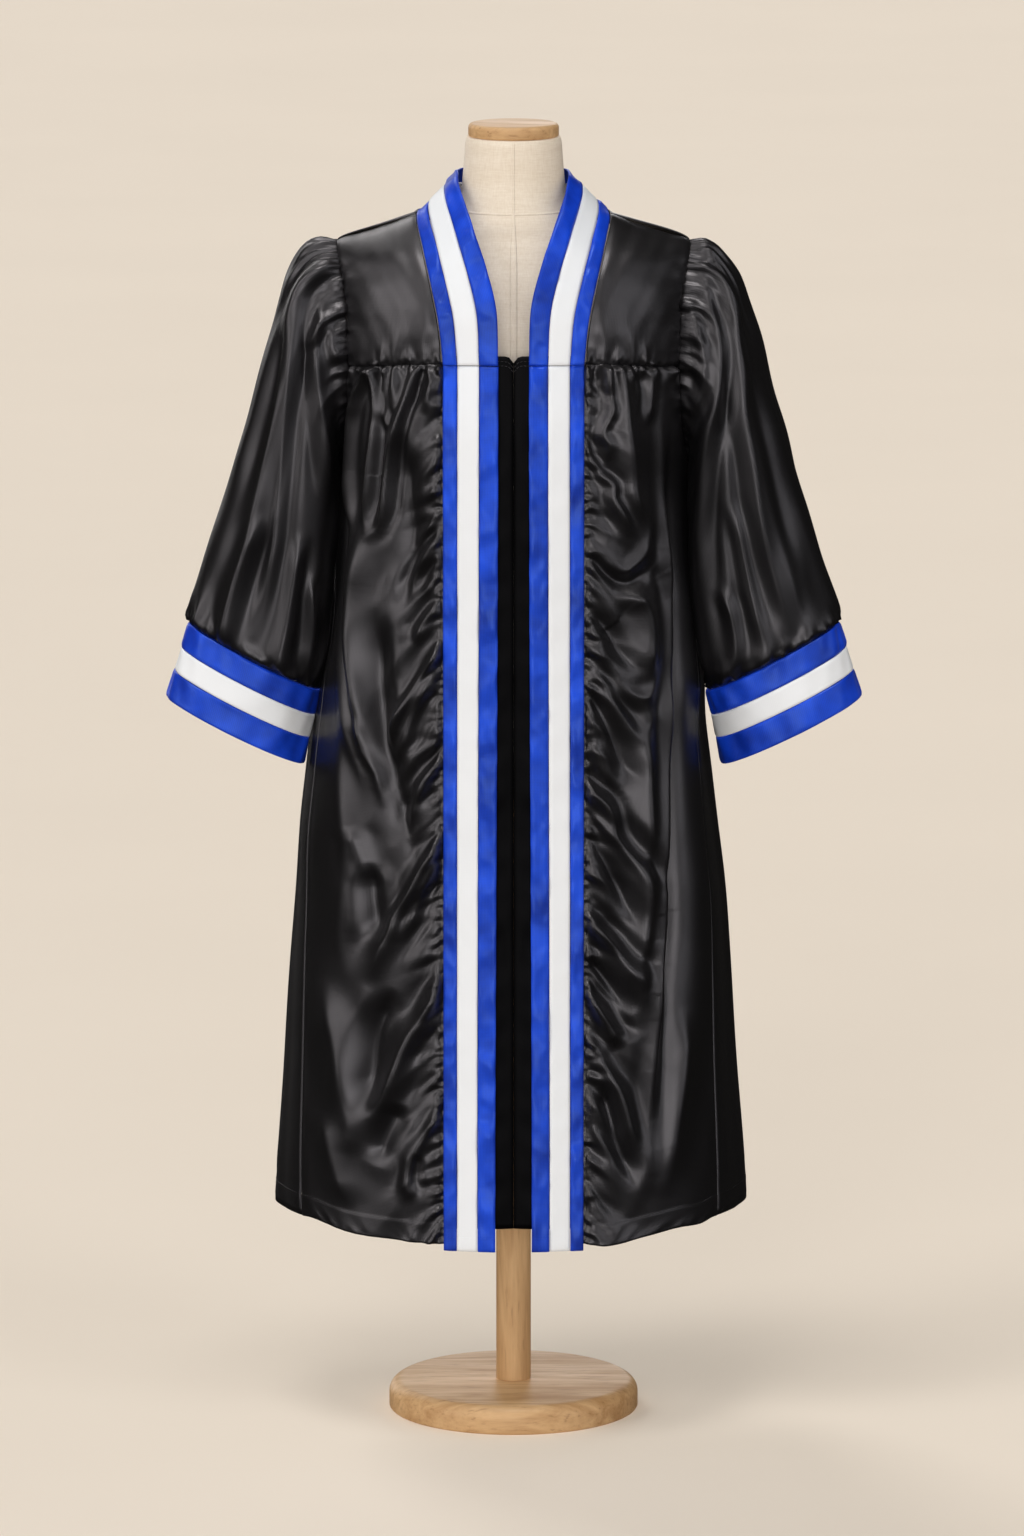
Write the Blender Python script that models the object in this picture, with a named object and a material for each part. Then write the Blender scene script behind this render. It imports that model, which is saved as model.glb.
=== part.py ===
"""Graduation gown, hanging on a limbless dress form with a round wooden stand.

Metres, +Z up.  The origin is the middle of the stand's underside.  The front
faces -Y, so the wearer's right side is at -X.  Every piece that a maker cuts
is its own thin wall, and each one is placed by a function of two fractions:
across the piece and along it.
"""
import math
from collections import namedtuple

import bmesh
import bpy
from mathutils import Vector

# ---------------------------------------------------------------- sizes
CLOTH = 0.0015          # wall of the satin pieces
RIBBON = 0.0018         # wall of the ribbon pieces, which are two layers
SEAM = 0.0004           # gap left between neighbouring pieces
SQUARENESS = 2.3        # of the gown's plan, where 2 is an ellipse

YOKE_SEAM = 1.262       # height of the yoke seam beside the bands
YOKE_SEAM_AT_ARM = 1.252
HEM_FRONT = 0.240
HEM_SIDE = 0.2525
HEM_BACK = 0.248
BAND_FOOT = 0.232
UNDERARM = 1.130
SHOULDER_POINT = Vector((0.205, 0.0, 1.3905))
UNDERARM_POINT = Vector((0.203, 0.0, UNDERARM))
ARMHOLE_DEPTH = 0.059   # half the armhole, front to back
ARMHOLE_DIP = 0.012     # how far the armhole curves in towards the neck

NECK_SHARE = 0.5        # share of the back yoke's top edge that the neck takes

BAND_OUTER = 0.0815     # half-distance between the bands' outer edges
BAND_INNER_TOP = 0.0175
BAND_INNER_FOOT = 0.0210
BAND_PROUD = 0.004      # inner edge of a band in front of the fronts' line
RIBBONS = (("outer", 0.0, 0.26), ("white", 0.26, 0.653), ("inner", 0.653, 1.0))
CUFF_RIBBONS = (("upper", 0.0, 0.33), ("white", 0.33, 0.637), ("lower", 0.637, 1.0))

INSERT_TOP = 1.272
INSERT_FOOT = 0.258
INSERT_EDGE = 0.078
INSERT_BEHIND = 0.010   # the insert behind the bands' front, in the middle
INSERT_EDGE_BEHIND = 0.0045
NOTCH_DEPTH = 0.008
NOTCH_HALF = 0.006

BASE_RADIUS = 0.14725
BASE_HEIGHT = 0.033
BASE_TOP_ROUND = 0.011
BASE_FOOT_ROUND = 0.003
POST_RADIUS = 0.0205
CAP_RADIUS = 0.0525
CAP_FOOT = 1.5118
CAP_TOP = 1.5270
CAP_ROUND = 0.005
FORM_SQUARENESS = 2.15

# ---------------------------------------------------------------- tables
Body = namedtuple("Body", "height half_width front back")
BODY = (
    Body(0.240, 0.2715, 0.1945, 0.198),
    Body(0.310, 0.2700, 0.1930, 0.196),
    Body(0.430, 0.2605, 0.1880, 0.190),
    Body(0.550, 0.2500, 0.1830, 0.184),
    Body(0.670, 0.2395, 0.1770, 0.177),
    Body(0.7655, 0.2300, 0.1720, 0.171),
    Body(0.864, 0.2185, 0.1680, 0.164),
    Body(0.950, 0.2080, 0.1650, 0.158),
    Body(1.030, 0.2030, 0.1620, 0.152),
    Body(1.130, 0.2030, 0.1570, 0.145),
    Body(1.200, 0.2060, 0.1500, 0.138),
    Body(1.262, 0.2070, 0.1340, 0.127),
)

# the side seam runs forwards as it goes down; 90 degrees is straight sideways
SideSeam = namedtuple("SideSeam", "height turn")
SIDE_SEAM = (
    SideSeam(0.240, 64.0),
    SideSeam(0.550, 71.0),
    SideSeam(0.900, 80.0),
    SideSeam(1.130, 90.0),
)

# neck band from the yoke seam (0) over the shoulder (4) to the centre back (6)
NeckBand = namedtuple("NeckBand", "station outer_x outer_y outer_z inner_x inner_y inner_z")
NECK_BAND = (
    NeckBand(0.0, 0.0815, -0.1321, 1.2624, 0.0175, -0.1380, 1.2624),
    NeckBand(1.0, 0.0865, -0.1260, 1.3100, 0.0195, -0.1310, 1.3250),
    NeckBand(2.0, 0.0950, -0.1080, 1.3500, 0.0310, -0.1130, 1.3720),
    NeckBand(3.0, 0.1045, -0.0750, 1.3890, 0.0460, -0.0880, 1.4150),
    NeckBand(4.0, 0.1115, -0.0100, 1.4235, 0.0640, -0.0200, 1.4655),
    NeckBand(5.0, 0.0900, 0.0640, 1.4170, 0.0540, 0.0420, 1.4700),
    NeckBand(6.0, 0.0000, 0.0980, 1.4080, 0.0000, 0.0720, 1.4680),
)

# sleeve from the armhole (0) to the cuff (1): over-arm and underarm edges
Sleeve = namedtuple("Sleeve", "along over_x over_z under_x under_z half_depth middle_y")
SLEEVE = (
    Sleeve(0.00, 0.2058, 1.3905, 0.2046, 1.1300, 0.0590, 0.000),
    Sleeve(0.06, 0.2350, 1.3810, 0.2048, 1.1230, 0.0640, 0.000),
    Sleeve(0.14, 0.2555, 1.3560, 0.2052, 1.1100, 0.0670, -0.001),
    Sleeve(0.24, 0.2695, 1.3200, 0.2058, 1.0880, 0.0690, -0.002),
    Sleeve(0.36, 0.2836, 1.2740, 0.2064, 1.0580, 0.0690, -0.003),
    Sleeve(0.50, 0.3036, 1.2030, 0.2072, 1.0220, 0.0670, -0.004),
    Sleeve(0.66, 0.3260, 1.1230, 0.2100, 0.9800, 0.0640, -0.006),
    Sleeve(0.82, 0.3500, 1.0420, 0.2150, 0.9300, 0.0590, -0.008),
    Sleeve(0.94, 0.3710, 0.9735, 0.2225, 0.8820, 0.0535, -0.010),
    Sleeve(1.00, 0.3795, 0.9450, 0.2262, 0.8645, 0.0515, -0.010),
)
CUFF = (
    Sleeve(0.0, 0.3803, 0.9440, 0.2260, 0.8633, 0.0520, -0.010),
    Sleeve(1.0, 0.4080, 0.8570, 0.2446, 0.7760, 0.0560, -0.010),
)

# folds: fraction across at the top and foot, heights, width and height of ridge
Fold = namedtuple("Fold", "across_top across_foot top foot width rise")
FRONT_FOLDS = (
    Fold(0.28, 0.40, 1.250, 1.000, 0.10, 0.0050),
    Fold(0.66, 0.80, 1.240, 0.760, 0.12, 0.0065),
    Fold(0.02, 0.52, 1.030, 0.660, 0.10, 0.0060),
    Fold(0.02, 0.56, 0.830, 0.470, 0.11, 0.0065),
    Fold(0.02, 0.50, 0.620, 0.260, 0.11, 0.0060),
    Fold(0.80, 0.74, 0.700, 0.230, 0.14, 0.0070),
)
BACK_FOLDS = (
    Fold(0.14, 0.12, 1.120, 0.230, 0.035, 0.0080),
    Fold(0.27, 0.25, 1.250, 0.230, 0.035, 0.0090),
    Fold(0.38, 0.37, 1.250, 0.230, 0.030, 0.0065),
    Fold(0.50, 0.51, 1.250, 0.230, 0.036, 0.0085),
    Fold(0.61, 0.63, 1.250, 0.230, 0.030, 0.0070),
    Fold(0.73, 0.76, 1.250, 0.230, 0.036, 0.0090),
    Fold(0.86, 0.89, 1.120, 0.230, 0.035, 0.0080),
)

SleeveFold = namedtuple("SleeveFold", "turn_top turn_foot top foot width rise")
SLEEVE_FOLDS = (
    SleeveFold(38.0, 60.0, 0.03, 0.95, 14.0, 0.0050),
    SleeveFold(78.0, 95.0, 0.03, 0.90, 14.0, 0.0055),
    SleeveFold(118.0, 132.0, 0.10, 0.96, 14.0, 0.0050),
    SleeveFold(242.0, 228.0, 0.10, 0.96, 14.0, 0.0050),
    SleeveFold(285.0, 270.0, 0.03, 0.92, 14.0, 0.0055),
    SleeveFold(324.0, 305.0, 0.03, 0.95, 14.0, 0.0050),
)

# body of the dress form, from under the cap down to its own underside
Form = namedtuple("Form", "station height half_width front back")
FORM = (
    Form(0, 1.5115, 0.0555, 0.0550, 0.0550),
    Form(1, 1.4655, 0.0590, 0.0580, 0.0590),
    Form(2, 1.4350, 0.0640, 0.0640, 0.0640),
    Form(3, 1.4160, 0.0880, 0.0680, 0.0700),
    Form(4, 1.4000, 0.1330, 0.0700, 0.0760),
    Form(5, 1.3750, 0.1700, 0.0780, 0.0850),
    Form(6, 1.3300, 0.1810, 0.0930, 0.0960),
    Form(7, 1.2600, 0.1700, 0.1080, 0.1020),
    Form(8, 1.2000, 0.1570, 0.1150, 0.1000),
    Form(9, 1.1200, 0.1400, 0.1050, 0.0920),
    Form(10, 1.0300, 0.1200, 0.0910, 0.0850),
    Form(11, 0.9200, 0.1440, 0.1030, 0.1030),
    Form(12, 0.8200, 0.1640, 0.1130, 0.1200),
    Form(13, 0.7760, 0.1600, 0.1100, 0.1150),
    Form(14, 0.7600, 0.1450, 0.0980, 0.1020),
)
FORM_SIDES = 28
FORM_ROWS = 24

Finish = namedtuple("Finish", "name colour roughness metallic")
SATIN = Finish("black_satin", (0.012, 0.011, 0.013), 0.36, 0.0)
BLUE = Finish("royal_blue_ribbon", (0.012, 0.050, 0.520), 0.38, 0.0)
WHITE = Finish("white_ribbon", (0.820, 0.820, 0.820), 0.42, 0.0)
LINEN = Finish("natural_linen", (0.700, 0.610, 0.480), 0.90, 0.0)
OAK = Finish("light_oak", (0.560, 0.360, 0.190), 0.50, 0.0)


# ---------------------------------------------------------------- curves
def read(table, key):
    """The table's row at this key, on a smooth curve through its rows."""
    rows = sorted(table)
    key = min(max(key, rows[0][0]), rows[-1][0])
    low = max(i for i in range(len(rows) - 1) if rows[i][0] <= key)
    before, start = rows[max(low - 1, 0)], rows[low]
    end, after = rows[low + 1], rows[min(low + 2, len(rows) - 1)]
    span = end[0] - start[0]
    t = (key - start[0]) / span
    values = [key]
    for column in range(1, len(start)):
        leave = (end[column] - before[column]) / (end[0] - before[0]) * span
        arrive = (after[column] - start[column]) / (after[0] - start[0]) * span
        rise = end[column] - start[column]
        curve = leave + t * (3 * rise - 2 * leave - arrive + t * (leave + arrive - 2 * rise))
        values.append(start[column] + t * curve)
    return type(start)(*values)


def blend(low, high, amount):
    """The value or point this fraction of the way from low to high."""
    return low + (high - low) * amount


def ease(amount):
    """0 to 1 with soft ends."""
    amount = min(max(amount, 0.0), 1.0)
    return amount * amount * (3.0 - 2.0 * amount)


def oval(turn, half_width, front, back, squareness):
    """Point of a rounded plan, where a turn of 0 is the front and 90 degrees is +X."""
    power = 2.0 / squareness
    side, ahead = math.sin(turn), math.cos(turn)
    depth = front if ahead > 0 else back
    x = half_width * math.copysign(abs(side) ** power, side)
    y = -depth * math.copysign(abs(ahead) ** power, ahead)
    return x, y


def ridge(distance, width):
    """A soft hump one wide unit either side of its middle."""
    return math.exp(-((distance / width) ** 2))


# ---------------------------------------------------------------- gown body
def armhole(height):
    """Front half of the +X armhole at this height."""
    middle = (SHOULDER_POINT.z + UNDERARM_POINT.z) / 2
    half = (SHOULDER_POINT.z - UNDERARM_POINT.z) / 2
    up = min(max((height - middle) / half, -1.0), 1.0)
    out = math.sqrt(1.0 - up * up)
    x = blend(UNDERARM_POINT.x, SHOULDER_POINT.x, (up + 1) / 2) - ARMHOLE_DIP * out * out
    return Vector((x, -ARMHOLE_DEPTH * out, height))


def turn_at(x, half_width):
    """Turn at which the gown's plan reaches x."""
    return math.asin(min(x / half_width, 1.0) ** (SQUARENESS / 2))


def edge_turn(height):
    """Turn of a front's outer edge: the armhole, and the side seam below it."""
    if height >= UNDERARM:
        return turn_at(armhole(height).x, read(BODY, height).half_width)
    return math.radians(read(SIDE_SEAM, height).turn)


def arm_pull(height, front):
    """How far the plan at the armhole is from the armhole itself, front to back."""
    if height <= UNDERARM:
        return 0.0
    row = read(BODY, height)
    plan_y = oval(edge_turn(height), row.half_width, row.front, row.back, SQUARENESS)[1]
    if front:
        return armhole(height).y - plan_y
    return -armhole(height).y + plan_y * row.back / row.front


def fold_rise(folds, across, height):
    """Height of the folds at this place on a panel."""
    total = 0.0
    for fold in folds:
        down = (fold.top - height) / (fold.top - fold.foot)
        if 0.0 < down <= 1.05:
            middle = blend(fold.across_top, fold.across_foot, down)
            fade = ease(down / 0.15) * ease((1.15 - down) / 0.15)
            total += fold.rise * fade * ridge(across - middle, fold.width)
    return total


def front_point(across, height, inner=BAND_OUTER + SEAM):
    """Smooth +X front at a fraction across it, from the band's seam to its edge."""
    row = read(BODY, height)
    start = turn_at(inner, row.half_width)
    turn = blend(start, edge_turn(height), across)
    x, y = oval(turn, row.half_width, row.front, row.back, SQUARENESS)
    return Vector((x, y + arm_pull(height, True) * across * across, height))


def outward(point):
    """Level direction away from the gown's middle."""
    return Vector((point.x * 0.6, point.y, 0.0)).normalized()


def front_seam_height(across):
    return blend(YOKE_SEAM, YOKE_SEAM_AT_ARM, ease(across))


def panel_height(down, top, foot):
    """Height of a panel row; the first rows are the close ones along the armhole."""
    steps = (top, 1.215, 1.170, 1.143, UNDERARM, 1.095, 1.045, 0.980, 0.910,
             0.830, 0.745, 0.655, 0.560, 0.465, 0.370, 0.300, foot)
    place = down * (len(steps) - 1)
    low = min(int(place), len(steps) - 2)
    return blend(steps[low], steps[low + 1], place - low)


def front_panel(across, down):
    """+X gathered front."""
    top = front_seam_height(across) - SEAM
    foot = blend(HEM_FRONT, HEM_SIDE, ease(across))
    height = panel_height(down, top, foot)
    point = front_point(across, height)
    edges = ease(across / 0.12) * ease((1 - across) / 0.12) * ease((top - height) / 0.05)
    return point + outward(point) * fold_rise(FRONT_FOLDS, across, height) * edges


def back_panel(across, down):
    """Gathered back, from the +X side seam (0) to the -X side seam (1)."""
    sideways = 1 - 2 * across
    top = back_seam_height(abs(sideways)) - SEAM
    foot = blend(HEM_BACK, HEM_SIDE, ease(abs(sideways)))
    height = panel_height(down, top, foot)
    row = read(BODY, height)
    gap = (SEAM + 0.0004) / row.half_width
    edge = edge_turn(height) + gap if height < UNDERARM else math.pi - edge_turn(height)
    turn = math.pi - (math.pi - edge) * sideways
    x, y = oval(turn, row.half_width, row.front, row.back, SQUARENESS)
    point = Vector((x, y + arm_pull(height, False) * sideways * sideways, height))
    edges = ease(across / 0.06) * ease((1 - across) / 0.06) * ease((top - height) / 0.05)
    return point + outward(point) * fold_rise(BACK_FOLDS, across, height) * edges


def back_seam_height(sideways):
    return blend(YOKE_SEAM, YOKE_SEAM_AT_ARM, ease(sideways))


# ---------------------------------------------------------------- yokes
def outer_edge(station):
    """Outer edge of the neck band."""
    row = read(NECK_BAND, station)
    return Vector((row.outer_x, row.outer_y, row.outer_z))


def inner_edge(station):
    """Inner edge of the neck band."""
    row = read(NECK_BAND, station)
    return Vector((row.inner_x, row.inner_y, row.inner_z))


def front_yoke(across, over):
    """+X front yoke, from the shoulder seam (over 0) to the yoke seam (over 1)."""
    across = blend(0.006, 1.0, across)
    swing = blend(0.006, math.pi / 2, over)
    beside_neck = outer_edge(4.0 * (1.0 - over))
    arm = armhole(blend(YOKE_SEAM_AT_ARM, SHOULDER_POINT.z, math.cos(swing)))
    flat = blend(beside_neck, arm, across)
    seam = front_point(across, front_seam_height(across))
    seam_flat = blend(outer_edge(0.0), armhole(YOKE_SEAM_AT_ARM), across)
    return flat + (seam - seam_flat) * math.sin(swing)


def back_yoke(across, over):
    """Back yoke in one piece, from the +X armhole (across 0) to the -X one."""
    sideways = 1 - 2 * across
    side = math.copysign(1.0, sideways)
    sideways = abs(sideways)
    if sideways < NECK_SHARE:
        top = outer_edge(6.0 - 2.0 * sideways / NECK_SHARE)
    else:
        along = (sideways - NECK_SHARE) / (1 - NECK_SHARE)
        top = blend(outer_edge(4.0), SHOULDER_POINT, along)
    top.y += 2 * SEAM
    height = back_seam_height(sideways)
    row = read(BODY, height)
    turn = math.pi - (math.pi / 2 - (math.pi / 2 - edge_turn(height))) * sideways
    x, y = oval(turn, row.half_width, row.front, row.back, SQUARENESS)
    foot = Vector((x, y + arm_pull(height, False) * sideways * sideways, height))
    swing = over * math.pi / 2
    point = blend(top, foot, math.sin(swing))
    point.z = blend(foot.z, top.z, math.cos(swing))
    arm = armhole(point.z)
    arm.y = -arm.y
    pull = sideways ** 6
    point.x = blend(point.x, arm.x, pull)
    point.y = blend(point.y, arm.y + 0.0004, pull)
    point.x *= side
    return point


# ---------------------------------------------------------------- bands
def band_section(height):
    """Outer and inner edge of the +X lower band at this height."""
    row = read(BODY, height)
    turn = turn_at(BAND_OUTER, row.half_width)
    outer_y = oval(turn, row.half_width, row.front, row.back, SQUARENESS)[1]
    down = (YOKE_SEAM - height) / (YOKE_SEAM - BAND_FOOT)
    inner_x = blend(BAND_INNER_TOP, BAND_INNER_FOOT, ease(down))
    outer = Vector((BAND_OUTER, outer_y, height))
    return outer, Vector((inner_x, -row.front - BAND_PROUD, height))


def lower_ribbon(start, end):
    """Placing function of one ribbon of the lower band."""
    def place(across, down):
        outer, inner = band_section(blend(YOKE_SEAM - SEAM, BAND_FOOT, down))
        gap = SEAM / (outer - inner).length / 2
        return blend(outer, inner, blend(end - gap, start + gap, across))
    return place


def neck_ribbon(start, end):
    """Placing function of one ribbon of the neck band, all the way round."""
    def place(across, along):
        station = 12.0 * along
        side = 1.0 if station <= 6.0 else -1.0
        half = min(station, 12.0 - station)
        outer, inner = outer_edge(half), inner_edge(half)
        gap = SEAM / (outer - inner).length / 2
        point = blend(outer, inner, blend(start + gap, end - gap, across))
        point.x *= side
        return point
    return place


def insert_panel(across, down):
    """+X half of the panel behind the bands, from its centre seam outwards."""
    x = blend(SEAM / 2, INSERT_EDGE, across)
    notch = NOTCH_DEPTH * max(0.0, 1.0 - x / NOTCH_HALF)
    height = blend(INSERT_TOP - notch, INSERT_FOOT, down)
    outer, inner = band_section(min(height, YOKE_SEAM))
    line = blend(inner.y, outer.y, max(0.0, (x - inner.x) / (outer.x - inner.x)))
    behind = blend(INSERT_BEHIND, INSERT_EDGE_BEHIND, ease(x / INSERT_EDGE))
    return Vector((x, line + behind, height))


# ---------------------------------------------------------------- sleeves
def ring_point(row, turn, dip):
    """Point of a sleeve ring, where a turn of 0 is over the arm and 90 is the front."""
    over = Vector((row.over_x, 0.0, row.over_z))
    under = Vector((row.under_x, 0.0, row.under_z))
    point = (over + under) / 2 + (over - under) / 2 * math.cos(turn)
    point.y = row.middle_y - row.half_depth * math.sin(turn)
    point.x -= dip * math.sin(turn) ** 2
    return point


def sleeve_fold_rise(turn, along):
    """Height of the sleeve's folds at this turn and place."""
    degrees = math.degrees(turn) % 360
    total = 0.0
    for fold in SLEEVE_FOLDS:
        down = (along - fold.top) / (fold.foot - fold.top)
        if 0.0 < down < 1.0:
            middle = blend(fold.turn_top, fold.turn_foot, down)
            fade = ease(down / 0.2) * ease((1.0 - down) / 0.15)
            total += fold.rise * fade * ridge(degrees - middle, fold.width)
    return total


def sleeve_panel(around, along):
    """+X sleeve, a closed tube."""
    steps = (0.0, 0.03, 0.07, 0.13, 0.20, 0.30, 0.42, 0.56, 0.70, 0.84, 0.94, 1.0)
    place = along * (len(steps) - 1)
    low = min(int(place), len(steps) - 2)
    along = blend(steps[low], steps[low + 1], place - low)
    turn = -around * math.tau
    row = read(SLEEVE, along)
    point = ring_point(row, turn, ARMHOLE_DIP * (1.0 - ease(along / 0.2)))
    middle = ring_point(row, 0.0, 0.0).lerp(ring_point(row, math.pi, 0.0), 0.5)
    return point + (point - middle).normalized() * sleeve_fold_rise(turn, along)


def cuff_ribbon(start, end):
    """Placing function of one ribbon of the +X cuff, a closed tube."""
    def place(around, along):
        fraction = blend(start + 0.003, end - 0.003, along)
        return ring_point(read(CUFF, fraction), -around * math.tau, 0.0)
    return place


# ---------------------------------------------------------------- making pieces
def finish_material(finish):
    """Principled material of this finish, one for each piece."""
    material = bpy.data.materials.new(finish.name)
    material.use_nodes = True
    shader = material.node_tree.nodes["Principled BSDF"]
    shader.inputs["Base Color"].default_value = (*finish.colour, 1.0)
    shader.inputs["Roughness"].default_value = finish.roughness
    shader.inputs["Metallic"].default_value = finish.metallic
    return material


def add_object(name, bm, finish):
    """A named object from a bmesh, shaded smooth but for its sharp edges."""
    mesh = bpy.data.meshes.new(name)
    bm.to_mesh(mesh)
    bm.free()
    mesh.shade_smooth()
    mesh.set_sharp_from_angle(angle=math.radians(40))
    mesh.materials.append(finish_material(finish))
    piece = bpy.data.objects.new(name, mesh)
    bpy.context.scene.collection.objects.link(piece)
    return piece


def add_sheet(name, place, columns, rows, finish, wall, side=1, closed=False):
    """A wall of cloth: a grid moved onto its form, then thickened inwards."""
    bm = bmesh.new()
    bmesh.ops.create_grid(bm, x_segments=columns, y_segments=rows, size=0.5)
    for vert in bm.verts:
        point = place(vert.co.x + 0.5, 0.5 - vert.co.y)
        vert.co = Vector((point.x * side, point.y, point.z))
    if closed:
        bmesh.ops.remove_doubles(bm, verts=bm.verts, dist=0.00001)
    if side < 0:
        bmesh.ops.reverse_faces(bm, faces=bm.faces)
    piece = add_object(name, bm, finish)
    thicken = piece.modifiers.new("wall", "SOLIDIFY")
    thicken.thickness = wall
    thicken.offset = -1.0
    return piece


def both_sides(stem, place, columns, rows, finish, wall, closed=False):
    """The same piece on the wearer's left (+X) and right (-X)."""
    add_sheet(stem.format("left"), place, columns, rows, finish, wall, 1, closed)
    add_sheet(stem.format("right"), place, columns, rows, finish, wall, -1, closed)


def add_turned(name, profile, sides, finish):
    """A turned piece: a profile of (radius, height) points spun about the post."""
    bm = bmesh.new()
    verts = [bm.verts.new((radius, 0.0, height)) for radius, height in profile]
    edges = [bm.edges.new(pair) for pair in zip(verts, verts[1:])]
    bmesh.ops.spin(bm, geom=verts + edges, cent=(0, 0, 0), axis=(0, 0, 1),
                   angle=math.tau, steps=sides, use_merge=True)
    bmesh.ops.remove_doubles(bm, verts=bm.verts, dist=0.00001)
    bmesh.ops.recalc_face_normals(bm, faces=bm.faces)
    return add_object(name, bm, finish)


def rounded(radius, height, round_size, steps, top):
    """Quarter-round corner of a turned profile at this height, outside to inside."""
    points = []
    for step in range(steps + 1):
        angle = math.pi / 2 * step / steps
        inset = round_size * (1 - math.cos(angle))
        rise = round_size * (math.sin(angle) - 1)
        points.append((radius - inset, height + rise if top else height - rise))
    return points


# ---------------------------------------------------------------- the object
def add_stand():
    """Round base, post and the cap on the neck."""
    foot = rounded(BASE_RADIUS, 0.0, BASE_FOOT_ROUND, 2, False)[::-1]
    top = rounded(BASE_RADIUS, BASE_HEIGHT, BASE_TOP_ROUND, 4, True)
    profile = [(0.0, 0.0)] + foot + top + [(0.0, BASE_HEIGHT)]
    add_turned("form_base", profile, 48, OAK)
    post_foot, post_top = BASE_HEIGHT + SEAM, FORM[-1].height - SEAM
    profile = [(0.0, post_foot), (POST_RADIUS, post_foot), (POST_RADIUS, post_top), (0.0, post_top)]
    add_turned("form_post", profile, 24, OAK)
    foot = rounded(CAP_RADIUS, CAP_FOOT, CAP_ROUND / 2, 2, False)[::-1]
    top = rounded(CAP_RADIUS, CAP_TOP, CAP_ROUND, 3, True)
    profile = [(0.0, CAP_FOOT)] + foot + top + [(0.0, CAP_TOP)]
    add_turned("form_cap", profile, 32, OAK)


def add_form():
    """Linen-covered body of the dress form, one closed solid."""
    bm = bmesh.new()
    rings = []
    for row in range(FORM_ROWS + 1):
        section = read(FORM, FORM[-1].station * row / FORM_ROWS)
        ring = []
        for side in range(FORM_SIDES):
            turn = math.tau * side / FORM_SIDES
            x, y = oval(turn, section.half_width, section.front, section.back, FORM_SQUARENESS)
            ring.append(bm.verts.new((x, y, section.height)))
        rings.append(ring)
    for upper, lower in zip(rings, rings[1:]):
        for side in range(FORM_SIDES):
            other = (side + 1) % FORM_SIDES
            bm.faces.new((upper[side], lower[side], lower[other], upper[other]))
    bm.faces.new(rings[0])
    bm.faces.new(rings[-1][::-1])
    bmesh.ops.recalc_face_normals(bm, faces=bm.faces)
    add_object("form_torso", bm, LINEN)


def add_gown_body():
    """Yokes, gathered fronts and back, and the two halves of the insert."""
    both_sides("yoke_front_{}", front_yoke, 5, 12, SATIN, CLOTH)
    add_sheet("yoke_back", back_yoke, 24, 5, SATIN, CLOTH)
    both_sides("front_{}", front_panel, 12, 16, SATIN, CLOTH)
    add_sheet("back", back_panel, 28, 16, SATIN, CLOTH)
    both_sides("insert_{}", insert_panel, 3, 12, SATIN, CLOTH)


def add_sleeves():
    """Bell sleeves and their striped cuffs."""
    both_sides("sleeve_{}", sleeve_panel, 20, 11, SATIN, CLOTH, closed=True)
    for label, start, end in CUFF_RIBBONS:
        finish = WHITE if label == "white" else BLUE
        place = cuff_ribbon(start, end)
        both_sides("cuff_{}_" + label, place, 20, 1, finish, RIBBON, closed=True)


def add_bands():
    """Three ribbons down each front edge, and three round the neck."""
    for label, start, end in RIBBONS:
        finish = WHITE if label == "white" else BLUE
        both_sides("band_{}_" + label, lower_ribbon(start, end), 1, 14, finish, RIBBON)
        add_sheet("collar_" + label, neck_ribbon(start, end), 1, 36, finish, RIBBON)


def main():
    for old in list(bpy.data.objects):
        bpy.data.objects.remove(old, do_unlink=True)
    add_stand()
    add_form()
    add_gown_body()
    add_sleeves()
    add_bands()


main()
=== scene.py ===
import math

import bmesh
import bpy
import numpy as np
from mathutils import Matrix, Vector


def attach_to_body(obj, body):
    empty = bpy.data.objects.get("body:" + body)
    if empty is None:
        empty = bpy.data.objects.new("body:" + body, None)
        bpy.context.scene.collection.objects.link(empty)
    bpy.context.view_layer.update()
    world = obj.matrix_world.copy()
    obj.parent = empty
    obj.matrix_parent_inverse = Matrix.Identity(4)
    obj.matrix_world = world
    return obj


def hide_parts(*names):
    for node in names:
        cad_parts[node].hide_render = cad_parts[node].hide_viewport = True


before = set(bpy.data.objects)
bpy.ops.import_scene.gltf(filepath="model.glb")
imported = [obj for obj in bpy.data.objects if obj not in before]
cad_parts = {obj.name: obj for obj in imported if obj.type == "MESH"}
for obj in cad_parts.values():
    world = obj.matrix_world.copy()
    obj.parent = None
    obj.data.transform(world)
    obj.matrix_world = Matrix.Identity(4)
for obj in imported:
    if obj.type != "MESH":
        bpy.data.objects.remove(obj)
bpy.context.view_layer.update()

fullTurn = math.tau
sides = (("right", -1), ("left", 1))     # the wearer's sides, and the way of x on each
print("frame loaded")


# shader maths: a socket that can be added, multiplied and so on
class Field:
    def __init__(self, tree, socket):
        self.tree = tree
        self.socket = socket

    def maths(self, operation, first, second):
        node = self.tree.nodes.new("ShaderNodeMath")
        node.operation = operation
        plug(self.tree, node.inputs[0], first)
        plug(self.tree, node.inputs[1], second)
        return Field(self.tree, node.outputs[0])

    def __add__(self, other):
        return self.maths("ADD", self, other)

    def __radd__(self, other):
        return self.maths("ADD", other, self)

    def __sub__(self, other):
        return self.maths("SUBTRACT", self, other)

    def __rsub__(self, other):
        return self.maths("SUBTRACT", other, self)

    def __mul__(self, other):
        return self.maths("MULTIPLY", self, other)

    def __rmul__(self, other):
        return self.maths("MULTIPLY", other, self)


def plug(tree, slot, value):
    if isinstance(value, Field):
        tree.links.new(value.socket, slot)
    else:
        slot.default_value = value


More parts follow.
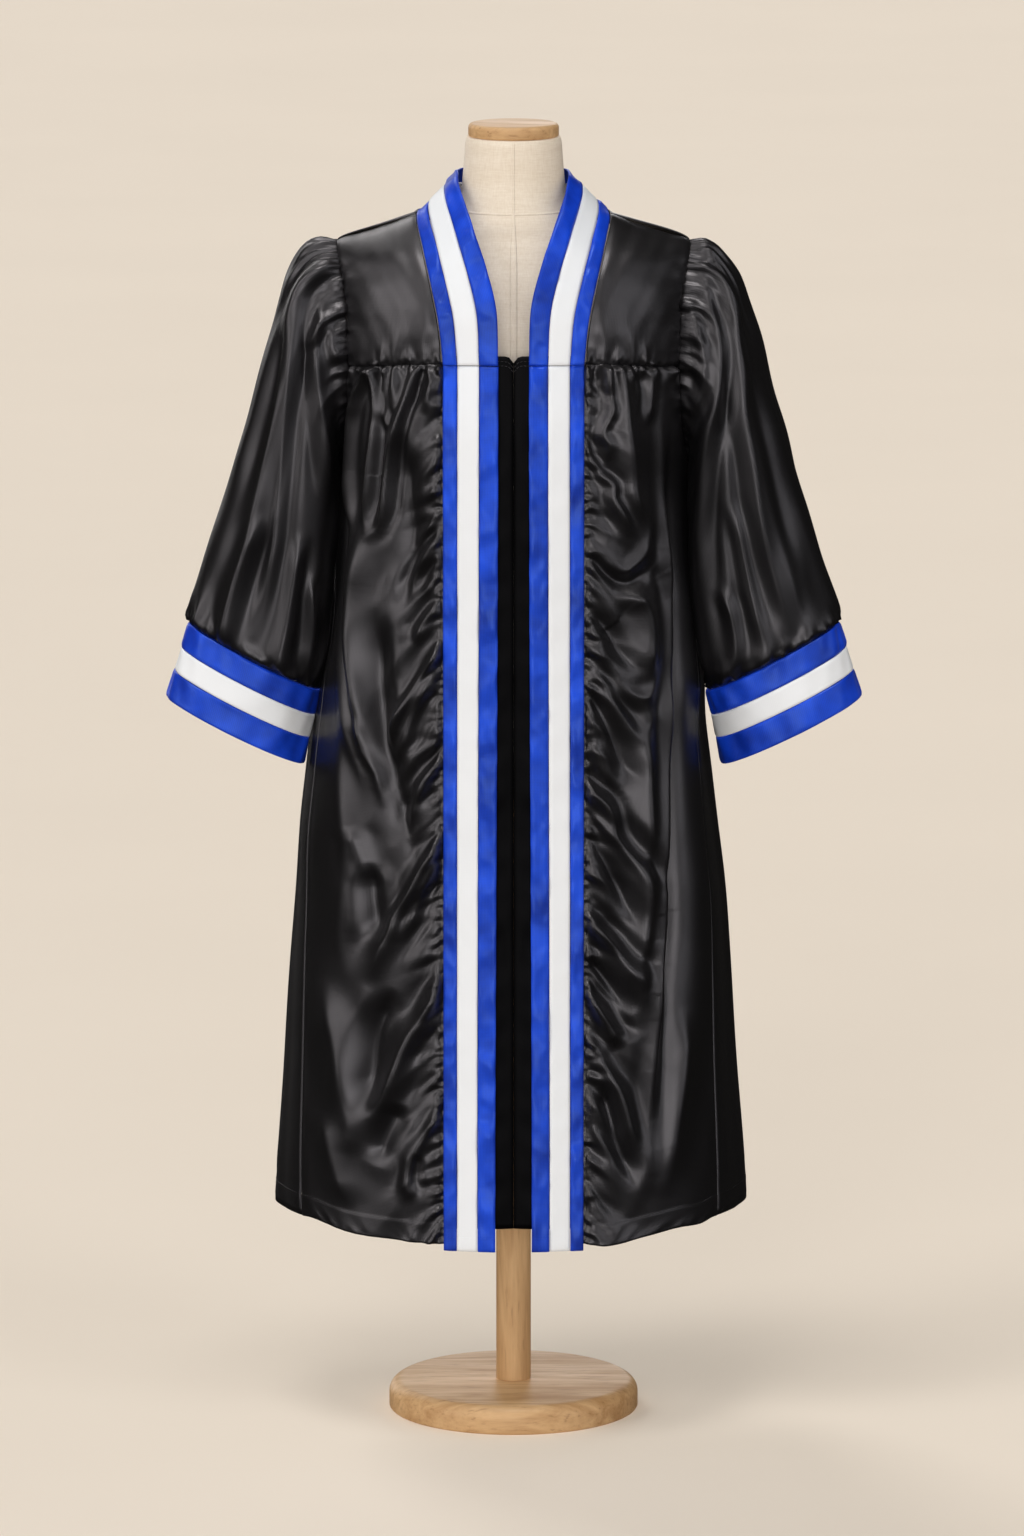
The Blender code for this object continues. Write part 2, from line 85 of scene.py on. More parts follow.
# a material, and the one method that makes its other nodes
class Finish:
    def __init__(self, name):
        self.material = bpy.data.materials.new(name)
        self.material.use_nodes = True
        self.tree = self.material.node_tree
        self.tree.nodes.clear()

    def node(self, kind, settings, sockets, output=0):
        made = self.tree.nodes.new("ShaderNode" + kind)
        for key, value in settings.items():
            if key == "stops":
                for element, (place, shade) in zip(made.color_ramp.elements, value):
                    element.position = place
                    element.color = (shade, shade, shade, 1.0)
            else:
                setattr(made, key, value)
        for key, value in sockets.items():
            plug(self.tree, made.inputs[key], value)
        if made.outputs:
            return Field(self.tree, made.outputs[output])
        return self.material

    def place(self):
        return self.node("TexCoord", {}, {}, "Object")

    def mapped(self, place, scale, shift=(0.0, 0.0, 0.0)):
        return self.node("Mapping", {"vector_type": "POINT"},
                         {"Vector": place, "Location": shift, "Scale": scale})

    def noise(self, place, scale, detail, roughness=0.5, distortion=0.0):
        return self.node("TexNoise", {}, {"Vector": place, "Scale": scale, "Detail": detail,
                                          "Roughness": roughness, "Distortion": distortion}, "Fac")

    def blend(self, amount, low, high):
        low, high = [c if isinstance(c, Field) else (*c, 1.0) for c in (low, high)]
        return self.node("Mix", {"data_type": "RGBA"}, {0: amount, 6: low, 7: high}, 2)

    def bump(self, height, distance, strength=1.0, **under):
        return self.node("Bump", {}, {"Strength": strength, "Distance": distance, "Height": height, **under})

    def surface(self, sockets):
        shader = self.node("BsdfPrincipled", {}, sockets)
        return self.node("OutputMaterial", {}, {"Surface": shader})


# curves through short tables, and blends
def tableAt(rows, key):
    rows = np.array(rows, float)
    keys = rows[:, 0]
    key = np.clip(np.asarray(key, float), keys[0], keys[-1])
    low = np.clip(np.searchsorted(keys, key, side="right") - 1, 0, len(keys) - 2)
    before = np.maximum(low - 1, 0)
    end = low + 1
    after = np.minimum(low + 2, len(keys) - 1)
    span = keys[end] - keys[low]
    t = (key - keys[low]) / span
    columns = []
    for value in rows.T[1:]:
        leave = (value[end] - value[before]) / (keys[end] - keys[before]) * span
        arrive = (value[after] - value[low]) / (keys[after] - keys[low]) * span
        rise = value[end] - value[low]
        bend = leave + t * (3 * rise - 2 * leave - arrive + t * (leave + arrive - 2 * rise))
        columns.append(value[low] + t * bend)
    return columns


def mix(low, high, amount):
    return low + (high - low) * amount


def ease(amount):
    amount = np.clip(amount, 0.0, 1.0)
    return amount * amount * (3.0 - 2.0 * amount)


def hump(distance, width):
    return np.exp(-((distance / width) ** 2))


def crest(q):
    # a fold's ridge: a narrow round top and long straight flanks
    return np.exp(-1.25 * (np.sqrt(q * q + 0.10) - 0.316))


def stack(x, y, z):
    # one array of points
    return np.stack(np.broadcast_arrays(x, y, z), axis=-1).astype(float)


def unit(vectors):
    return vectors / np.maximum(np.linalg.norm(vectors, axis=-1, keepdims=True), 1e-9)


# folds: sizes across are in a fold's own widths, sizes along it are shares of its length
fold = {
    "reach": 4.5,
    "trough": 0.30,
    "troughPlace": 1.9,
    "leanTrough": 0.5,
    "leanPlace": 1.7,
    "startFade": 0.28,
    "endFade": 0.34,
    "past": 0.06,
}
# how far the ridges of a gather vary about their style
gather = {
    "widths": (0.26, 0.44),
    "rises": (0.45, 1.3),
    "slants": (0.4, 1.6),
    "steps": (0.6, 1.4),
    "trough": 0.35,
}


def smoothPath(points, count=30):
    steps = np.r_[0.0, np.cumsum(np.linalg.norm(np.diff(points, axis=0), axis=1))]
    return np.stack(tableAt(np.c_[steps, points], np.linspace(0.0, steps[-1], count)), axis=-1)


def creaseHeight(creases, x, z, deepen):
    # soft ridges with troughs beside them, along routes seen square on
    total = np.zeros_like(x)
    for width, rise, lean, rooted, *route in creases:
        path = smoothPath(np.array(route) * 0.001)
        width *= 0.001
        reach = fold["reach"] * width
        low, high = path.min(axis=0) - reach, path.max(axis=0) + reach
        near = (x > low[0]) & (x < high[0]) & (z > low[1]) & (z < high[1])
        if not near.any():
            continue
        dx = x[near][:, None] - path[None, :, 0]
        dz = z[near][:, None] - path[None, :, 1]
        spot = np.argmin(dx * dx + dz * dz, axis=1)
        ways = unit(np.gradient(path, axis=0))
        step = np.linalg.norm(path[1] - path[0])
        pick = np.arange(len(spot))
        dx, dz = dx[pick, spot], dz[pick, spot]
        along = dx * ways[spot, 0] + dz * ways[spot, 1]
        side = dx * ways[spot, 1] - dz * ways[spot, 0]
        t = (spot + along / step) / (len(path) - 1)
        fade = ease((1 + fold["past"] - t) / fold["endFade"])
        if not rooted:
            fade = fade * ease((t + fold["past"]) / fold["startFade"])
        q = side / (width * mix(0.8, 1.2, np.clip(t, 0, 1)))
        trough = fold["trough"] * hump(np.abs(q) - fold["troughPlace"], 1.0)
        if lean:
            trough = trough + fold["leanTrough"] * hump(q - fold["leanPlace"] * lean, 0.9)
        total[near] += deepen * rise * 0.001 * fade * (crest(q) - trough)
    return total


def gatherHeight(seed, seam, depth, span, styles, wrap=0.0):
    # small uneven ridges that start at a gathered seam and die away from it;
    # a style's row is pitch, reach, rise, slant and the share of the rise at the seam
    total = np.zeros_like(seam)
    for k, (pitch, meanReach, meanRise, meanSlant, start) in enumerate(styles):
        rng = np.random.default_rng(seed + k)
        centre = span[0]
        while centre < span[1]:
            reach = meanReach * (0.40 + 1.5 * rng.random() ** 2.2)
            width = pitch * mix(*gather["widths"], rng.random())
            rise = meanRise * mix(*gather["rises"], rng.random())
            slant = meanSlant * mix(*gather["slants"], rng.random()) + 0.25 * (rng.random() - 0.5)
            away = seam - centre - slant * depth
            if wrap:
                away = (away + wrap / 2) % wrap - wrap / 2
            near = (np.abs(away) < 6 * pitch) & (depth < 3.0 * reach) & (depth > -0.01)
            q = away[near] / (width * (1.0 + 0.8 * np.abs(depth[near]) / reach))
            fade = mix(start, 1.0, ease(depth[near] / (0.25 * reach)))
            fade = fade * hump(depth[near], reach)
            trough = gather["trough"] * hump(np.abs(q) - 2.0, 1.0)
            total[near] += rise * fade * (crest(q) - trough)
            centre += pitch * mix(*gather["steps"], rng.random())
    return total


def ripple(seed, a, b, length, count=9):
    # a low unrest of the cloth, from a few crossing waves
    rng = np.random.default_rng(seed)
    total = np.zeros(np.broadcast(a, b).shape)
    for _ in range(count):
        turn = rng.random() * fullTurn
        wave = fullTurn / (length * mix(0.6, 1.7, rng.random()))
        total += np.sin(wave * (a * math.cos(turn) + b * math.sin(turn)) + rng.random() * fullTurn)
    return total / math.sqrt(count)


def foldSwell(folds, across, z):
    # a panel's largest folds
    total = np.zeros_like(z)
    for acrossTop, acrossFoot, top, foot, width, rise in folds:
        down = (top - z) / (top - foot)
        fade = ease(down / 0.15) * ease((1.15 - down) / 0.15)
        total += rise * fade * hump(across - mix(acrossTop, acrossFoot, down), width)
    return total


def seamDip(distance, size=0.004, drop=0.0012):
    # a sewn edge turns down into its seam
    return -drop * hump(distance, size)


def seamFade(distance, reach):
    # folds are held down at a seam
    return ease((distance + 0.0015) / reach)


# making meshes
def addObject(name, data):
    piece = bpy.data.objects.new(name, data)
    bpy.context.scene.collection.objects.link(piece)
    return piece


def meshSpots(mesh):
    spots = np.zeros(len(mesh.vertices) * 3)
    mesh.vertices.foreach_get("co", spots)
    return spots.reshape(-1, 3)


def shadeSmooth(mesh, sharp):
    mesh.shade_smooth()
    mesh.set_sharp_from_angle(angle=math.radians(sharp))


def raised(form, across, down, height, wraps, step=0.002):
    # points of a form, moved out along its own normal
    if wraps:
        low, high = across - step, across + step
    else:
        low, high = np.clip(across - step, 0, 1), np.clip(across + step, 0, 1)
    sideways = form(high, down) - form(low, down)
    downward = form(across, np.clip(down + step, 0, 1)) - form(across, np.clip(down - step, 0, 1))
    normal = unit(np.cross(downward, sideways))
    return form(across, down) + normal * height[:, None]


def clothSheet(name, grid, form, height, cut, side=1, closed=False, wall=0.0012, crowd=1.0):
    # a grid laid on its form; the cut's width and length are its UV map, in metres,
    # and crowd over 1 draws the columns towards the first edge
    columns, rows = grid
    bm = bmesh.new()
    bm.loops.layers.uv.new("cloth")
    bmesh.ops.create_grid(bm, x_segments=columns, y_segments=rows, size=0.5, calc_uvs=True)
    mesh = bpy.data.meshes.new(name)
    bm.to_mesh(mesh)
    bm.free()
    spots = meshSpots(mesh)
    across = np.clip(spots[:, 0] + 0.5, 0, 1) ** crowd
    down = np.clip(0.5 - spots[:, 1], 0, 1)
    points = raised(form, across, down, height(across, down), closed)
    points[:, 0] *= side
    mesh.vertices.foreach_set("co", points.astype(np.float32).ravel())
    uv = np.zeros(len(mesh.loops) * 2)
    mesh.uv_layers["cloth"].data.foreach_get("uv", uv)
    uv = uv.reshape(-1, 2) ** np.array((crowd, 1.0)) * np.array(cut)
    mesh.uv_layers["cloth"].data.foreach_set("uv", uv.astype(np.float32).ravel())
    bm = bmesh.new()
    bm.from_mesh(mesh)
    if closed:
        bmesh.ops.remove_doubles(bm, verts=bm.verts, dist=0.00005)
    if side < 0:
        bmesh.ops.reverse_faces(bm, faces=bm.faces)
    bm.to_mesh(mesh)
    bm.free()
    mesh.shade_smooth()
    piece = addObject(name, mesh)
    if wall:
        thicken = piece.modifiers.new("wall", "SOLIDIFY")
        thicken.thickness = wall
        thicken.offset = -1.0
    return piece


def fromMesh(name, bm, sharp=50.0):
    mesh = bpy.data.meshes.new(name)
    bm.to_mesh(mesh)
    bm.free()
    shadeSmooth(mesh, sharp)
    return addObject(name, mesh)


def attach(piece, finish, slot, *nodes):
    piece.data.materials.clear()
    piece.data.materials.append(finish)
    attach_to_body(piece, "root")
    if nodes:
        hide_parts(*nodes)


# finishes
satinLook = {
    "colour": (0.0014, 0.0013, 0.0016),
    "lighter": (0.0030, 0.0028, 0.0032),
    "patchScale": 7.0,       # large soft patches of light and dark
    "mottleAndPaintedShade": 1.0,           # how far apart their tones are
    "roughness": (0.37, 0.44),
    "specular": 0.88,
    "specularTint": (1.0, 0.95, 1.0, 1.0),
    "sheen": 0.0,
    "sheenTint": (0.80, 0.78, 0.90, 1.0),
    "threadPitch": 0.0018,
    "threadBump": 0.00006,
    "crinkle": 55.0,         # fine crinkles to the metre
    "crinkleBump": 0.00010,
}
# the panel behind the bands is a darker, duller copy of the satin: partly a plainer cloth, partly painted
# shade for its recess behind the bands
shadedSatinLook = {
    **satinLook,
    "colour": (0.0010, 0.0010, 0.0011),
    "lighter": (0.0020, 0.0019, 0.0021),
    "roughness": (0.50, 0.60),
    "specular": 0.12,
    "specularTint": (0.60, 0.58, 0.62, 1.0),
    "threadBump": 0.00004,
}
blueLook = {
    **satinLook,
    # painted light and shade: the colour swings in ripple-sized patches between a dark blue and a much
    # lighter one, standing in for the ribbon's lit and shaded ripples
    "colour": (0.001, 0.013, 0.25),
    "lighter": (0.006, 0.068, 0.78),
    "patchScale": 17.0,
    "mottleAndPaintedShade": 2.8,
    "roughness": (0.38, 0.46),
    "specular": 0.85,
    "specularTint": (0.32, 0.55, 1.0, 1.0),
    "sheen": 0.05,
    "sheenTint": (0.5, 0.6, 1.0, 1.0),
    "threadBump": 0.00005,
    "crinkle": 28.0,
    "crinkleBump": 0.00090,
}
whiteLook = {
    **blueLook,
    # painted light and shade, milder: the white swings in patches between two tones, standing in for the
    # ribbon's lit and shaded ripples
    "colour": (0.780, 0.810, 0.852),
    "lighter": (0.806, 0.832, 0.872),
    "patchScale": 12.0,
    "mottleAndPaintedShade": 1.8,
    "specular": 0.35,
    "specularTint": (1.0, 1.0, 1.0, 1.0),
    "sheenTint": (1.0, 1.0, 1.0, 1.0),
    "crinkle": 45.0,
    "crinkleBump": 0.00006,
}
waveRun = 20.0               # radians of a wave texture to the metre, at scale 1


def threadWaves(finish, pitch):
    # crossing threads from the cloth's own map: 0 to 1
    cloth = finish.node("UVMap", {"uv_map": "cloth"}, {})
    sizes = {"Vector": cloth, "Scale": fullTurn / (waveRun * pitch),
             "Distortion": 0.6, "Detail": 1.0, "Detail Scale": 2.0}
    waves = []
    for direction in ("X", "Y"):
        style = {"wave_type": "BANDS", "bands_direction": direction, "wave_profile": "SIN"}
        waves.append(finish.node("TexWave", style, sizes, "Fac"))
    return waves[0] * 0.65 + waves[1] * 0.35


def satinFinish(name, look):
    finish = Finish(name)
    place = finish.place()
    patches = finish.noise(place, look["patchScale"], 3.0, 0.55)
    # the patches darken and lighten the colour: tone at random on the black satin, painted light and shade
    # on the ribbons
    mottleAndPaintedShade = (patches - 0.5) * look["mottleAndPaintedShade"] + 0.5
    crinkles = finish.noise(finish.mapped(place, (1.0, 1.0, 0.45)), look["crinkle"], 3.0, 0.5, 0.4)
    threads = threadWaves(finish, look["threadPitch"])
    smooth, rough = look["roughness"]
    creased = finish.bump(crinkles, look["crinkleBump"])
    return finish.surface({
        "Base Color": finish.blend(mottleAndPaintedShade * 0.7 + threads * 0.3, look["colour"], look["lighter"]),
        "Roughness": smooth + (patches * 0.6 + threads * 0.4) * (rough - smooth),
        "Normal": finish.bump(threads, look["threadBump"], Normal=creased),
        "Specular IOR Level": look["specular"], "Specular Tint": look["specularTint"],
        "Sheen Weight": look["sheen"], "Sheen Roughness": 0.35, "Sheen Tint": look["sheenTint"]})


linenLook = {
    "warp": (0.70, 0.60, 0.48),
    "weft": (0.85, 0.77, 0.66),
    "threadScale": 620.0,
    "slubScale": 90.0,
    "cloudScale": 9.0,
    "bump": 0.00022,
}


def linenFinish(name, look):
    finish = Finish(name)
    place = finish.place()
    level = finish.mapped(place, (0.12, 0.12, 1.0))
    threads = [finish.noise(way, look["threadScale"], 2.0, 0.6)
               for way in (finish.mapped(place, (1.0, 1.0, 0.12)), level)]
    slubs = finish.noise(level, look["slubScale"], 3.0, 0.7)
    cloud = finish.noise(place, look["cloudScale"], 2.0)
    weave = threads[0] * 0.5 + threads[1] * 0.5
    tone = finish.node("ValToRGB", {"stops": ((0.34, 0.0), (0.66, 1.0))},
                       {"Fac": weave * 0.6 + slubs * 0.25 + cloud * 0.15})
    return finish.surface({
        "Base Color": finish.blend(tone, look["warp"], look["weft"]),
        "Roughness": 0.85 + weave * 0.1,
        "Normal": finish.bump(weave * 0.7 + slubs * 0.3, look["bump"]),
        "Specular IOR Level": 0.25, "Sheen Weight": 0.12, "Sheen Roughness": 0.5})


oakLook = {
    "light": (0.70, 0.455, 0.235),
    "dark": (0.43, 0.235, 0.095),
    "pore": (0.25, 0.125, 0.05),
    "roughness": (0.42, 0.56),
    "bump": 0.00018,
}


def oakFinish(name, look, stretch, shift=(0.0, 0.0, 0.0)):
    # stretch is small along the grain
    finish = Finish(name)
    along = finish.mapped(finish.place(), stretch, shift)
    bend = finish.noise(along, 6.0, 2.0)
    rings = finish.noise(along, 38.0, 5.0, 0.62, 0.9)
    fibres = finish.noise(along, 260.0, 3.0, 0.6)
    grain = finish.node("ValToRGB", {"stops": ((0.36, 0.0), (0.64, 1.0))},
                        {"Fac": rings * 0.62 + bend * 0.2 + fibres * 0.18})
    pores = finish.node("ValToRGB", {"stops": ((0.60, 0.0), (0.72, 1.0))}, {"Fac": fibres})
    wood = finish.blend(grain, look["light"], look["dark"])
    smooth, rough = look["roughness"]
    return finish.surface({
        "Base Color": finish.blend(pores * 0.45, wood, look["pore"]),
        "Roughness": smooth + grain * (rough - smooth),
        "Normal": finish.bump(1.0 - pores * 0.7 - grain * 0.3, look["bump"], 0.8),
        "Specular IOR Level": 0.4})


blackSatin = satinFinish("blackSatin", satinLook)
shadedBlackSatin = satinFinish("shadedBlackSatin", shadedSatinLook)
blueRibbon = satinFinish("royalBlueRibbon", blueLook)
whiteRibbon = satinFinish("whiteRibbon", whiteLook)
linen = linenFinish("naturalLinen", linenLook)


def attachRibbon(piece, ribbon, *nodes):
    if ribbon == "white":
        attach(piece, whiteRibbon, "white_ribbon", *nodes)
    else:
        attach(piece, blueRibbon, "royal_blue_ribbon", *nodes)


print("finishes ready")


# the gown's form, in metres
gown = {
    "squareness": 2.3,       # of the plan, where 2 is an ellipse
    "yokeSeam": 1.262,
    "yokeSeamAtArm": 1.252,
    "hemFront": 0.240,
    "hemSide": 0.2525,
    "hemBack": 0.248,
    "bandFoot": 0.232,
    "underarm": 1.130,
    "underarmX": 0.203,
    "shoulderX": 0.205,
    "shoulderZ": 1.3905,
    "armholeDepth": 0.059,
    "armholeDip": 0.012,
    "bandOuter": 0.0815,
    "bandInnerTop": 0.0175,
    "bandInnerFoot": 0.0210,
    "bandProud": 0.004,
    "seam": 0.0004,
    "tuck": 0.0030,          # how far an edge goes under its neighbour
    "hemDepth": 0.025,
    "hemRise": 0.0006,
    "hemWave": 0.0018,
    "yokeFade": 0.0032,      # over which the folds rise from the yoke seam
    "shoulderStation": 4.0,
    "backStation": 6.0,
    # height, and how far the right and left sides hang outwards there
    "sway": ((0.240, 0.0000, -0.0090), (0.340, 0.0010, -0.0100), (0.440, 0.0030, -0.0090),
             (0.540, 0.0060, -0.0060), (0.620, 0.0080, -0.0040), (0.700, 0.0110, -0.0060),
             (0.760, 0.0095, -0.0060), (0.820, 0.0085, -0.0050), (0.864, 0.0074, 0.0015),
             (0.885, 0.0074, 0.0035), (0.930, 0.0045, 0.0040), (1.030, 0.0042, 0.0042),
             (1.080, 0.0030, 0.0030), (1.120, 0.0012, 0.0012), (1.160, 0.0000, 0.0000)),
    "neckShare": 0.5,        # of the back yoke's top edge
    # height, half width, front, back
    "body": ((0.240, 0.2715, 0.1945, 0.198), (0.310, 0.2700, 0.1930, 0.196),
             (0.430, 0.2605, 0.1880, 0.190), (0.550, 0.2500, 0.1830, 0.184),
             (0.670, 0.2395, 0.1770, 0.177), (0.7655, 0.2300, 0.1720, 0.171),
             (0.864, 0.2185, 0.1680, 0.164), (0.950, 0.2080, 0.1650, 0.158),
             (1.030, 0.2030, 0.1620, 0.152), (1.130, 0.2030, 0.1570, 0.145),
             (1.200, 0.2060, 0.1500, 0.138), (1.262, 0.2070, 0.1340, 0.127)),
    # height, turn of the side seam in degrees from the front
    "sideSeam": ((0.240, 64.0), (0.550, 71.0), (0.900, 80.0), (1.130, 90.0)),
    # station from the yoke seam over the shoulder to the centre back, outer edge, inner edge
    "neckBand": ((0.0, 0.0815, -0.1321, 1.2624, 0.0175, -0.1380, 1.2624),
                 (1.0, 0.0865, -0.1260, 1.3100, 0.0195, -0.1310, 1.3250),
                 (2.0, 0.0950, -0.1080, 1.3500, 0.0310, -0.1130, 1.3720),
                 (3.0, 0.1045, -0.0750, 1.3890, 0.0460, -0.0880, 1.4150),
                 (4.0, 0.1115, -0.0100, 1.4235, 0.0640, -0.0200, 1.4655),
                 (5.0, 0.0900, 0.0640, 1.4170, 0.0540, 0.0420, 1.4700),
                 (6.0, 0.0000, 0.0980, 1.4080, 0.0000, 0.0720, 1.4680)),
}


def oval(turn, halfWidth, front, back, squareness):
    # x and y of a plan, with turn 0 straight ahead
    power = 2.0 / squareness
    side, ahead = np.sin(turn), np.cos(turn)
    depth = np.where(ahead > 0, front, back)
    x = halfWidth * np.sign(side) * np.abs(side) ** power
    return x, -depth * np.sign(ahead) * np.abs(ahead) ** power


def armhole(z):
    # the front half of the armhole's edge
    middle = (gown["shoulderZ"] + gown["underarm"]) / 2
    half = (gown["shoulderZ"] - gown["underarm"]) / 2
    up = np.clip((z - middle) / half, -1.0, 1.0)
    out = np.sqrt(1.0 - up * up)
    x = mix(gown["underarmX"], gown["shoulderX"], (up + 1) / 2) - gown["armholeDip"] * out * out
    return stack(x, -gown["armholeDepth"] * out, z)


def turnAt(x, halfWidth):
    return np.arcsin(np.minimum(x / halfWidth, 1.0) ** (gown["squareness"] / 2))


def edgeTurn(z):
    above = turnAt(armhole(z)[..., 0], tableAt(gown["body"], z)[0])
    below = np.radians(tableAt(gown["sideSeam"], z)[0])
    return np.where(z >= gown["underarm"], above, below)


def bodyPoint(turn, sideways, z, front):
    # a point of the body's plan, drawn towards the armhole at its sides
    halfWidth, ahead, behind = tableAt(gown["body"], z)
    planY = oval(edgeTurn(z), halfWidth, ahead, behind, gown["squareness"])[1]
    armY = armhole(z)[..., 1]
    pull = armY - planY if front else -armY + planY * behind / ahead
    pull = np.where(z <= gown["underarm"], 0.0, pull)
    x, y = oval(turn, halfWidth, ahead, behind, gown["squareness"])
    # just above the underarm only the very edge is drawn in
    narrow = 2.5 + 9.0 * (1.0 - ease((z - gown["underarm"]) / 0.07))
    return stack(x, y + pull * np.clip(sideways, 0, 2) ** narrow, z)


def frontPoint(across, z):
    start = turnAt(gown["bandOuter"] + gown["seam"], tableAt(gown["body"], z)[0])
    return bodyPoint(mix(start, edgeTurn(z), across), across, z, True)


def backSwing(sideways, z):
    # how far round from the centre back
    gap = 2 * gown["seam"] / tableAt(gown["body"], z)[0]
    edge = np.where(z < gown["underarm"], edgeTurn(z) + gap, math.pi - edgeTurn(z))
    return (math.pi - edge) * sideways


def backPoint(sideways, z):
    return bodyPoint(math.pi - backSwing(sideways, z), sideways, z, False)


def swayed(point, side, sideways):
    # the two sides of the gown don't hang quite alike
    right, left = tableAt(gown["sway"], point[..., 2])
    point[..., 0] += np.where(side < 0, right, left) * ease(sideways) ** 2
    return point


def yokeSeamZ(sideways):
    return mix(gown["yokeSeam"], gown["yokeSeamAtArm"], ease(sideways))


def neckEdge(station, outer):
    columns = tableAt(gown["neckBand"], station)
    return stack(*(columns[:3] if outer else columns[3:]))


# gathered fronts
front = {
    "grid": (80, 480),
    "cut": (0.300, 1.085),
    "span": (-0.02, 1.01),   # under the band, and to the side seam
    "width": 0.25,
    "deepen": 1.80,          # of all its folds
    "unrest": 0.0010,
    # from where to where each seam's gathers run, and their styles
    "yokeGathers": ((0.084, 0.204), ((0.0074, 0.013, 0.0046, 0.05, 0.75),
                                     (0.0110, 0.028, 0.0058, 0.08, 0.65),
                                     (0.0240, 0.065, 0.0046, 0.08, 0.25))),
    "bandGathers": ((0.250, 1.255), ((0.0068, 0.0085, -0.0022, -0.25, 0.70),
                                     (0.0120, 0.022, -0.0026, -0.75, 0.40),
                                     (0.0170, 0.036, 0.0031, -1.00, 0.15),
                                     (0.0450, 0.060, 0.0034, -1.10, 0.05))),
    "hemGathers": ((0.085, 0.270), ((0.013, 0.020, 0.0011, 0.55, 0.35),)),
    "armGathers": ((1.205, 1.250), ((0.010, 0.012, 0.0010, 0.30, 0.35),)),
    # how wide and how deep each sewn edge dips
    "yokeDip": (0.0028, 0.0026),
    "bandDip": (0.0040, 0.0028),
    "sideDip": (0.0030, 0.0020),
    "bandFade": 0.0045,
}
# each fold in millimetres: width, rise, side of its deeper trough, whether it starts at a seam,
# and its route downwards as distance from the middle and height
rightCreases = (
    (5, 5, 0, True, (163, 1257), (172, 1238), (180, 1220), (187, 1190), (191, 1160), (193, 1120),
     (192, 1090), (184, 1063)),
    (4.8, 4.6, 1, True, (160, 1250), (158, 1210), (160, 1180), (163, 1150), (166, 1118), (170, 1085),
     (168, 1060)),
    (5, 4.6, 1, True, (111, 1257), (121, 1225), (131, 1196), (140, 1165), (146, 1125), (150, 1090),
     (158, 1068), (168, 1056)),
    (4.5, 3.4, 0, True, (149, 1250), (151, 1225), (150.5, 1205), (146, 1192), (138, 1190)),
    (5.5, 3.2, 0, True, (98, 1258.5), (94.7, 1243), (98, 1219), (102.8, 1207)),
    (15, 8.5, 0, False, (174, 1075), (178, 1023), (181, 990), (182, 941), (180, 885), (175.5, 845),
     (160, 798), (152.5, 760)),
    (20, -7, 0, False, (128, 1175), (122, 1100), (120, 1030), (134, 970)),
    (5.5, -5, 0, False, (190, 1208.7), (194.3, 1167), (198.5, 1115), (197.5, 1033), (196, 960),
     (192, 897.5), (174.4, 824.5), (158.7, 780), (156.7, 745)),
    (5, 3.4, 0, False, (179, 849), (170, 813), (157.5, 784), (154, 749)),
    (13, -6.5, 0, False, (159, 968), (157, 857), (141, 791), (123, 714), (110, 680)),
    (6, 3.2, -1, True, (83, 1069), (93.5, 1057), (113, 1023), (122, 991)),
    (6.5, 3.4, -1, True, (81, 992), (98, 972), (115.5, 943)),
    (12, 6, 0, True, (85, 930), (112, 885), (134, 845), (140, 805)),
    (5.5, 2.8, -1, True, (82.5, 937), (103, 905), (120, 874), (136, 845.5), (142, 807)),
    (5, 2.6, -1, False, (87, 912), (103, 883), (116, 852), (125, 825), (138, 802.5)),
    (7, 4, -1, True, (82.5, 807), (98, 789), (111, 758), (122, 726)),
    (21, 5, 0, False, (197, 900), (197, 770), (192, 700), (195, 640), (199, 590), (193, 530)),
    (12, 7, 0, True, (86, 705), (107.7, 666), (124.6, 630), (147.2, 588), (164.2, 546)),
    (5, 2.6, -1, True, (80.4, 722), (96, 695), (116, 655), (136, 623), (147, 592)),
    (5, 2.4, -1, False, (85, 693), (98, 666), (111, 633), (127, 596)),
    (12, 3, 0, False, (185, 720), (176, 690), (165, 655)),
    (10, -5, 0, False, (165.5, 680), (164.2, 638), (158.6, 590)),
    (12, 7.5, 0, True, (85, 543), (102, 509), (119, 484), (133, 447), (150, 405.6), (164.2, 363.6)),
    (14, -6.5, 0, False, (141.6, 531.5), (161.6, 484), (169.8, 427.7), (170, 390)),
    (20, 4.8, 0, False, (220, 530), (206.6, 470), (198.1, 428), (190, 380), (190, 320)),
    (15, 3, 0, False, (221, 377.7), (209.5, 329.7), (192.5, 277.7)),
    (14, -5.5, 0, False, (133, 400), (150, 363.6), (158.6, 330)),
    (8, 4.5, 0, True, (84, 400), (96.3, 374.5), (113.8, 343.7), (122, 307.4), (116.1, 290)),
    (6, -3.5, 0, False, (110, 345), (113.8, 321.4), (112, 300)),
)
